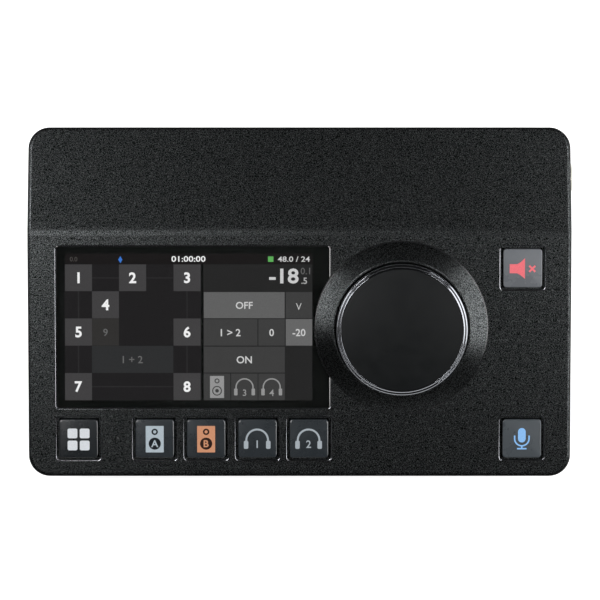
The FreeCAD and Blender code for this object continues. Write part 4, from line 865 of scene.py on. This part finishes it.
def speaker_sign():
    low, high, cut_high = at_layer(SIGNS), at_layer(CUTS), at_layer(CUTS + 1)
    u, v = at_pixel(*SPEAKER_AT)
    half_width, half_height = 2.65, 4.2
    tweeter_v, woofer_v = v + 2.3, v - 1.45
    add(MARK, slab(u - half_width, v - half_height, u + half_width, v + half_height, low, high))
    add(BUTTON, ring(u, tweeter_v, 0.55, 0.95, low, cut_high))
    add(BUTTON, ring(u, woofer_v, 1.45, 1.85, low, cut_high))
    add(BUTTON, disc(u, woofer_v, 0.7, low, cut_high))


def headphones_sign(place, numeral):
    low, high = at_layer(SIGNS), at_layer(CUTS)
    u, v = at_pixel(*place)
    add(MARK, arc_band(u, v + 0.2, 2.95, 3.45, 0, 180, low, high))
    for side in (-1, 1):
        x = u + side * 3.2
        add(MARK, slab(x - 0.25, v - 1.4, x + 0.25, v + 0.25, low, high))
        add(MARK, round_slab(x + side * 0.1, v - 1.6, 1.3, 2.6, 0.3, low, high))
    add(MARK, lettering(numeral, u, v - 1.9, 2.5, low, high, 0.01))


mask_notch = NOTCH_RADIUS + 0.2
mask = stack([glass_outline(-MASK_INSET, at_layer(z), mask_notch) for z in (-MASK_DEPTH, 0)])
piece("screen_mask", mask, MASK, "housing", panel(0, 0))

add(STATUS, tile(STATUS_BOX, BACK))
add(LEFT, tile(LEFT_BOX, BACK))
add(RIGHT, tile(RIGHT_BOX, BACK))
add(GRID, *[tile(box, LINES) for box in GRID_LINES])
add(BAR, tile(BAR_BOX, LINES))
numbered_cells()
for colour, *text in TEXTS:
    add(colour, words(*text))
add(GREEN, tile(GREEN_BOX, TILES))
for colour, box in BUTTONS:
    add(colour, tile(box, TILES))
small_signs()
speaker_sign()
for place, numeral in HEADPHONES_AT:
    headphones_sign(place, numeral)
for index, (colour, shapes) in enumerate(sorted(screen_shapes.items())):
    glow = lit("screen_light_%d" % index, linear(*colour))
    piece("screen_layer_%d" % index, join(shapes), glow, "housing", panel(0, 0))

# --- fasteners and sockets, placed by the solids that they belong to ---------------------------
CORNERS = [(sx, sy) for sx in (-1, 1) for sy in (-1, 1)]
HOUSING = middle_of("top_cover")
REAR_FACE, RIGHT_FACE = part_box("rear_panel")[1].y / MM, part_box("top_cover")[1].x / MM
HEADPHONES = [middle_of(node) for node in ("phones_jack_2", "phones_jack_1")]
LINE_JACKS = [middle_of(node) for node in ("line_jack_right", "line_jack_left")]
OUTPUTS = [middle_of(node).x for node in ("output_xlr_left", "output_xlr_right")]
INPUTS = [middle_of(node).x for node in ("combo_input_1", "combo_input_2")]
ROUND_HEIGHT = middle_of("connector_screws").z
NETWORK, INLET = middle_of("network_socket"), middle_of("power_inlet")
PANEL_SCREWS = middle_of("rear_panel_screws")

# mm along each axis, from the middle of a socket, panel or housing to its screws and feet
SOCKET_SCREW = 9.9
PANEL_SCREW_X, PANEL_SCREW_Z = 87.35, 12.45
TRAY_SCREW_X, TRAY_SCREW_Y = 96.05, 59.57
FOOT_X, FOOT_Y = 83.85, 48.37

RECESS, LIP = -0.05, 0.2               # how far a mouth's ring reaches in and out of the panel


def at_rear(x, height):
    return side_frame((x, REAR_FACE, height), (0, 1, 0), (0, 0, 1))


def at_right(y, height):
    return side_frame((RIGHT_FACE, y, height), (1, 0, 0), (0, 0, 1))


def round_nut():
    profile = [
        (4.6, 0.0), (5.8, 0.0), (5.8, 0.5), (5.76, 0.62), (5.2, 1.15), (5.08, 1.2), (4.9, 1.2),
        (4.78, 1.12), (4.6, 0.9),
    ]
    return lathe(profile, 72, closed=True)


def cross_screw(head_radius, head_height, shank_radius, length, flat=False):
    """Screw along -Z with a cross recess in its head, which is flat or domed."""
    if flat:
        top = 0.0
        profile = [
            (0, -length), (shank_radius, -length), (shank_radius, -head_height), (head_radius, -0.1),
            (head_radius, top), (0, top),
        ]
    else:
        top = head_height
        profile = [
            (0, -length), (shank_radius, -length), (shank_radius, 0), (head_radius, 0),
            (head_radius, top * 0.45), (head_radius * 0.93, top * 0.72),
            (head_radius * 0.76, top * 0.91), (head_radius * 0.5, top), (0, top),
        ]
    arm, half_width, depth = head_radius * 0.58, head_radius * 0.1, head_height * 0.62
    cross = join([
        slab(-arm, -half_width, arm, half_width, top - depth, top + 1.0),
        slab(-half_width, -arm, half_width, arm, top - depth, top + 1.1),
    ])
    screw = linked("screw", mesh_of("screw", lathe(profile, 48)))
    cutter = linked("cross", mesh_of("cross", cross))
    cut = screw.modifiers.new("recess", "BOOLEAN")
    cut.operation, cut.object, cut.solver, cut.use_self = "DIFFERENCE", cutter, "EXACT", True
    shape = worked_out(screw)
    bpy.data.objects.remove(cutter)
    return shape


def round_pin(radius, low, high):
    profile = [
        (0, low), (radius, low), (radius, high - radius), (radius * 0.86, high - radius * 0.45),
        (radius * 0.5, high - radius * 0.1), (0, high),
    ]
    return lathe(profile, 32)


def output_lining():
    """Metal cup of an output, with its collar on the rear panel."""
    profile = [
        (9.5, -15.9), (9.78, -15.9), (9.78, 0.0), (11.4, 0.0), (11.4, 0.24), (11.34, 0.3), (9.7, 0.3),
        (9.56, 0.24), (9.5, 0.1),
    ]
    return lathe(profile, 96, closed=True)


def output_pins():
    pin, circle_radius = round_pin(1.24, -15.9, -4.95), 4.6
    angles = [math.radians(angle) for angle in (30, 150, 270)]
    return [moved(pin, circle_radius * math.cos(a), circle_radius * math.sin(a)) for a in angles]


def network_mouth():
    """Frame round the network socket's opening, which lies below its middle."""
    outer, inner, drop = (15.6, 13.2, 0.4), (12.2, 10.2, 0.3), -0.8
    rings = [rounded_rect(*outer, z) for z in (RECESS, LIP)]
    rings += [rounded_rect(*inner, z, y=drop) for z in (LIP, RECESS)]
    return stack(rings, closed=True)


def input_mouths():
    """Rings round the opening of a combination input and round the jack bore inside it."""
    return [ring(0, 0, 9.75, 11.4, RECESS, 0.3, 96), ring(0, 0, 3.3, 4.3, RECESS, LIP, 64)]


def network_contacts():
    count, pitch, half_width = 8, 1.02, 0.2
    middles = [(index - (count - 1) / 2) * pitch for index in range(count)]
    return [slab(x - half_width, 3.0, x + half_width, 3.9, -11.5, -3.0) for x in middles]


def rubber_foot():
    profile = [
        (0, 6.2), (2.2, 6.2), (2.4, 6.0), (2.4, 3.0), (8.0, 3.0), (7.72, 2.0), (7.3, 0.55), (7.12, 0.2),
        (6.8, 0.02), (6.4, 0.0), (5.2, 0.0), (5.0, 0.25), (0, 0.3),
    ]
    return lathe(profile, 96)


nuts = [placed(round_nut(), at_right(jack.y, jack.z)) for jack in HEADPHONES]
nuts += [placed(round_nut(), at_rear(jack.x, jack.z)) for jack in LINE_JACKS]
piece("round_nuts", join(nuts), NICKEL, "housing", None, ["jack_nuts"], 25)

pan_screw = cross_screw(2.75, 1.7, 1.5, 6.0)
panel_screws = []
for sx, sz in CORNERS:
    x, height = PANEL_SCREWS.x + sx * PANEL_SCREW_X, PANEL_SCREWS.z + sz * PANEL_SCREW_Z
    panel_screws.append(placed(pan_screw, at_rear(x, height)))
piece(
    "panel_screws", join(panel_screws), STEEL, "housing", None, ["rear_panel_screws"],
)
socket_screws = []
for x in OUTPUTS + INPUTS:
    for shift in (-SOCKET_SCREW, SOCKET_SCREW):
        socket_screws.append(placed(pan_screw, at_rear(x + shift, ROUND_HEIGHT + shift)))
piece(
    "socket_screws", join(socket_screws), STEEL, "housing", None, ["connector_screws"],
)

tray_low, tray_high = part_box("base_screws")
flush_screw = cross_screw(2.72, 1.65, 1.5, (tray_high.z - tray_low.z) / MM, flat=True)
tray_screws = []
for sx, sy in CORNERS:
    place = (HOUSING.x + sx * TRAY_SCREW_X, HOUSING.y + sy * TRAY_SCREW_Y, tray_low.z / MM)
    tray_screws.append(placed(flush_screw, side_frame(place, (0, 0, -1), (0, 1, 0))))
piece("tray_screws", join(tray_screws), STEEL, "housing", None, ["base_screws"])

linings, pins, mouths = [], [], []
for x in OUTPUTS:
    linings.append(placed(output_lining(), at_rear(x, ROUND_HEIGHT)))
    pins += [placed(pin, at_rear(x, ROUND_HEIGHT)) for pin in output_pins()]
for x in INPUTS:
    mouths += [placed(mouth, at_rear(x, ROUND_HEIGHT)) for mouth in input_mouths()]
at_network, at_inlet = at_rear(NETWORK.x, NETWORK.z), at_rear(INLET.x, INLET.z)
mouths.append(placed(network_mouth(), at_network))
mouths.append(placed(ring(0, 0, 3.25, 3.9, RECESS, LIP, 64), at_inlet))
pins.append(placed(round_pin(1.1, -9.4, -0.95), at_inlet))
contacts = [placed(contact, at_network) for contact in network_contacts()]
piece("socket_linings", join(linings), SHELL, "housing", angle=40)
piece("socket_mouths", join(mouths), SHELL, "housing", angle=40)
piece("socket_pins", join(pins), NICKEL, "housing", angle=40)
piece("network_contacts", join(contacts), GOLD, "housing")

feet = [
    moved(rubber_foot(), HOUSING.x + sx * FOOT_X, HOUSING.y + sy * FOOT_Y) for sx, sy in CORNERS
]
feet_in_place = placed(join(feet), Matrix.Scale(MM, 4))
piece("rubber_feet", feet_in_place, RUBBER, "housing", None, ["feet"], 40)

# --- stage, camera and light: metres ------------------------------------------------------------
FLOOR_GLOW = 0.72                      # with the lamps' light on it, the floor looks white
FLOOR_SIZE, FLOOR_TOP, FLOOR_LOW = 3.0, -0.00005, -0.002
SKY_DARK, SKY_LIGHT = 0.004, 0.095
BAND_LOW, BAND_HIGH = (0.3, 0.5), (0.8, 0.93)    # heights between which the sky's light changes

# name, place, target, width, height, power in watts
LAMPS = (
    ("left_back", (-0.5, 0.44, 0.9), (-0.03, 0, 0.03), 0.22, 0.22, 3.2),
    ("left_over", (-0.32, 0.0, 0.9), (-0.03, 0, 0.03), 0.22, 0.36, 2.25),
    ("left_low", (-0.8, 0.2, 0.32), (0, 0, 0.03), 0.6, 0.2, 2.2),
    ("right_back", (0.5, 0.44, 0.9), (0.03, 0, 0.03), 0.22, 0.22, 2.1),
    ("right_over", (0.34, -0.08, 0.9), (0.03, 0, 0.03), 0.2, 0.22, 0.7),
    ("right_side", (0.75, -0.05, 0.8), (0.03, 0, 0.03), 0.5, 0.3, 3.4),
    ("right_low", (0.9, 0.12, 0.15), (0, 0, 0.05), 0.9, 0.22, 4.0),
    ("right_edge", (0.85, 0.12, 0.38), (0, 0, 0.05), 0.9, 0.22, 2.1),
)


def seen_by_eye(tree):
    """1 for camera, mirror and glass rays."""
    path = add_node(tree, "LightPath")
    rays = {0: path.outputs["Is Camera Ray"], 1: path.outputs["Is Glossy Ray"]}
    first = add_node(tree, "Math", rays, operation="MAXIMUM")
    rays = {0: first.outputs[0], 1: path.outputs["Is Transmission Ray"]}
    return add_node(tree, "Math", rays, operation="MAXIMUM").outputs[0]


def floor_material():
    """Pale floor that keeps the object's shadow, and looks white itself."""
    material = bpy.data.materials.new("studio_floor")
    material.use_nodes = True
    tree = material.node_tree
    tree.nodes.clear()
    grain = add_node(tree, "TexNoise", {"Scale": 40.0})
    tint = add_node(tree, "ValToRGB", {"Fac": grain.outputs["Fac"]})
    tint.color_ramp.elements[0].color = (0.78, 0.78, 0.78, 1)
    tint.color_ramp.elements[1].color = (0.82, 0.82, 0.82, 1)
    diffuse = add_node(tree, "BsdfDiffuse", {"Color": tint.outputs["Color"]})
    glow = add_node(tree, "Emission", {"Color": (1, 1, 1, 1), "Strength": FLOOR_GLOW})
    both = add_node(tree, "AddShader", {0: diffuse.outputs[0], 1: glow.outputs[0]})
    choices = {"Fac": seen_by_eye(tree), 1: diffuse.outputs[0], 2: both.outputs[0]}
    choose = add_node(tree, "MixShader", choices)
    add_node(tree, "OutputMaterial", {"Surface": choose.outputs[0]})
    return material


def studio_world():
    """Sky whose brightness depends on how high it is: dark, pale, and dark again on top."""
    world = bpy.data.worlds.new("studio")
    world.use_nodes = True
    tree = world.node_tree
    tree.nodes.clear()
    sky = add_node(tree, "TexCoord")
    height = add_node(tree, "SeparateXYZ", {"Vector": sky.outputs["Generated"]}).outputs["Z"]
    rise = remap(tree, height, *BAND_LOW, SKY_DARK, SKY_LIGHT)
    fall = remap(tree, height, *BAND_HIGH, SKY_LIGHT, SKY_DARK)
    level = add_node(tree, "Math", {0: rise, 1: fall}, operation="MINIMUM").outputs["Value"]
    fill = add_node(tree, "Background", {"Color": (1, 1, 1, 1), "Strength": level})
    add_node(tree, "OutputWorld", {"Surface": fill.outputs[0]})
    return world


def softbox(name, place, target, width, height, power):
    data = bpy.data.lights.new(name, "AREA")
    data.shape, data.size, data.size_y, data.energy = "RECTANGLE", width, height, power
    lamp = linked(name, data)
    lamp.location = place
    lamp.rotation_euler = (Vector(target) - Vector(place)).to_track_quat("-Z", "Y").to_euler()


floor_shape = slab(-FLOOR_SIZE, -FLOOR_SIZE, FLOOR_SIZE, FLOOR_SIZE, FLOOR_LOW, FLOOR_TOP)
floor_mesh = mesh_of("studio_floor", floor_shape)
floor_mesh.materials.append(floor_material())
floor = linked("studio_floor", floor_mesh)
bpy.context.scene.world = studio_world()
for lamp in LAMPS:
    softbox(*lamp)

camera_data = bpy.data.cameras.new("camera")
camera_data.sensor_width, camera_data.lens = SENSOR, LENS
camera_data.clip_start, camera_data.clip_end = 0.05, 20.0
camera = linked("camera", camera_data)
camera.location = CAMERA
bpy.context.scene.camera = camera
bpy.context.scene.view_settings.view_transform = "Standard"
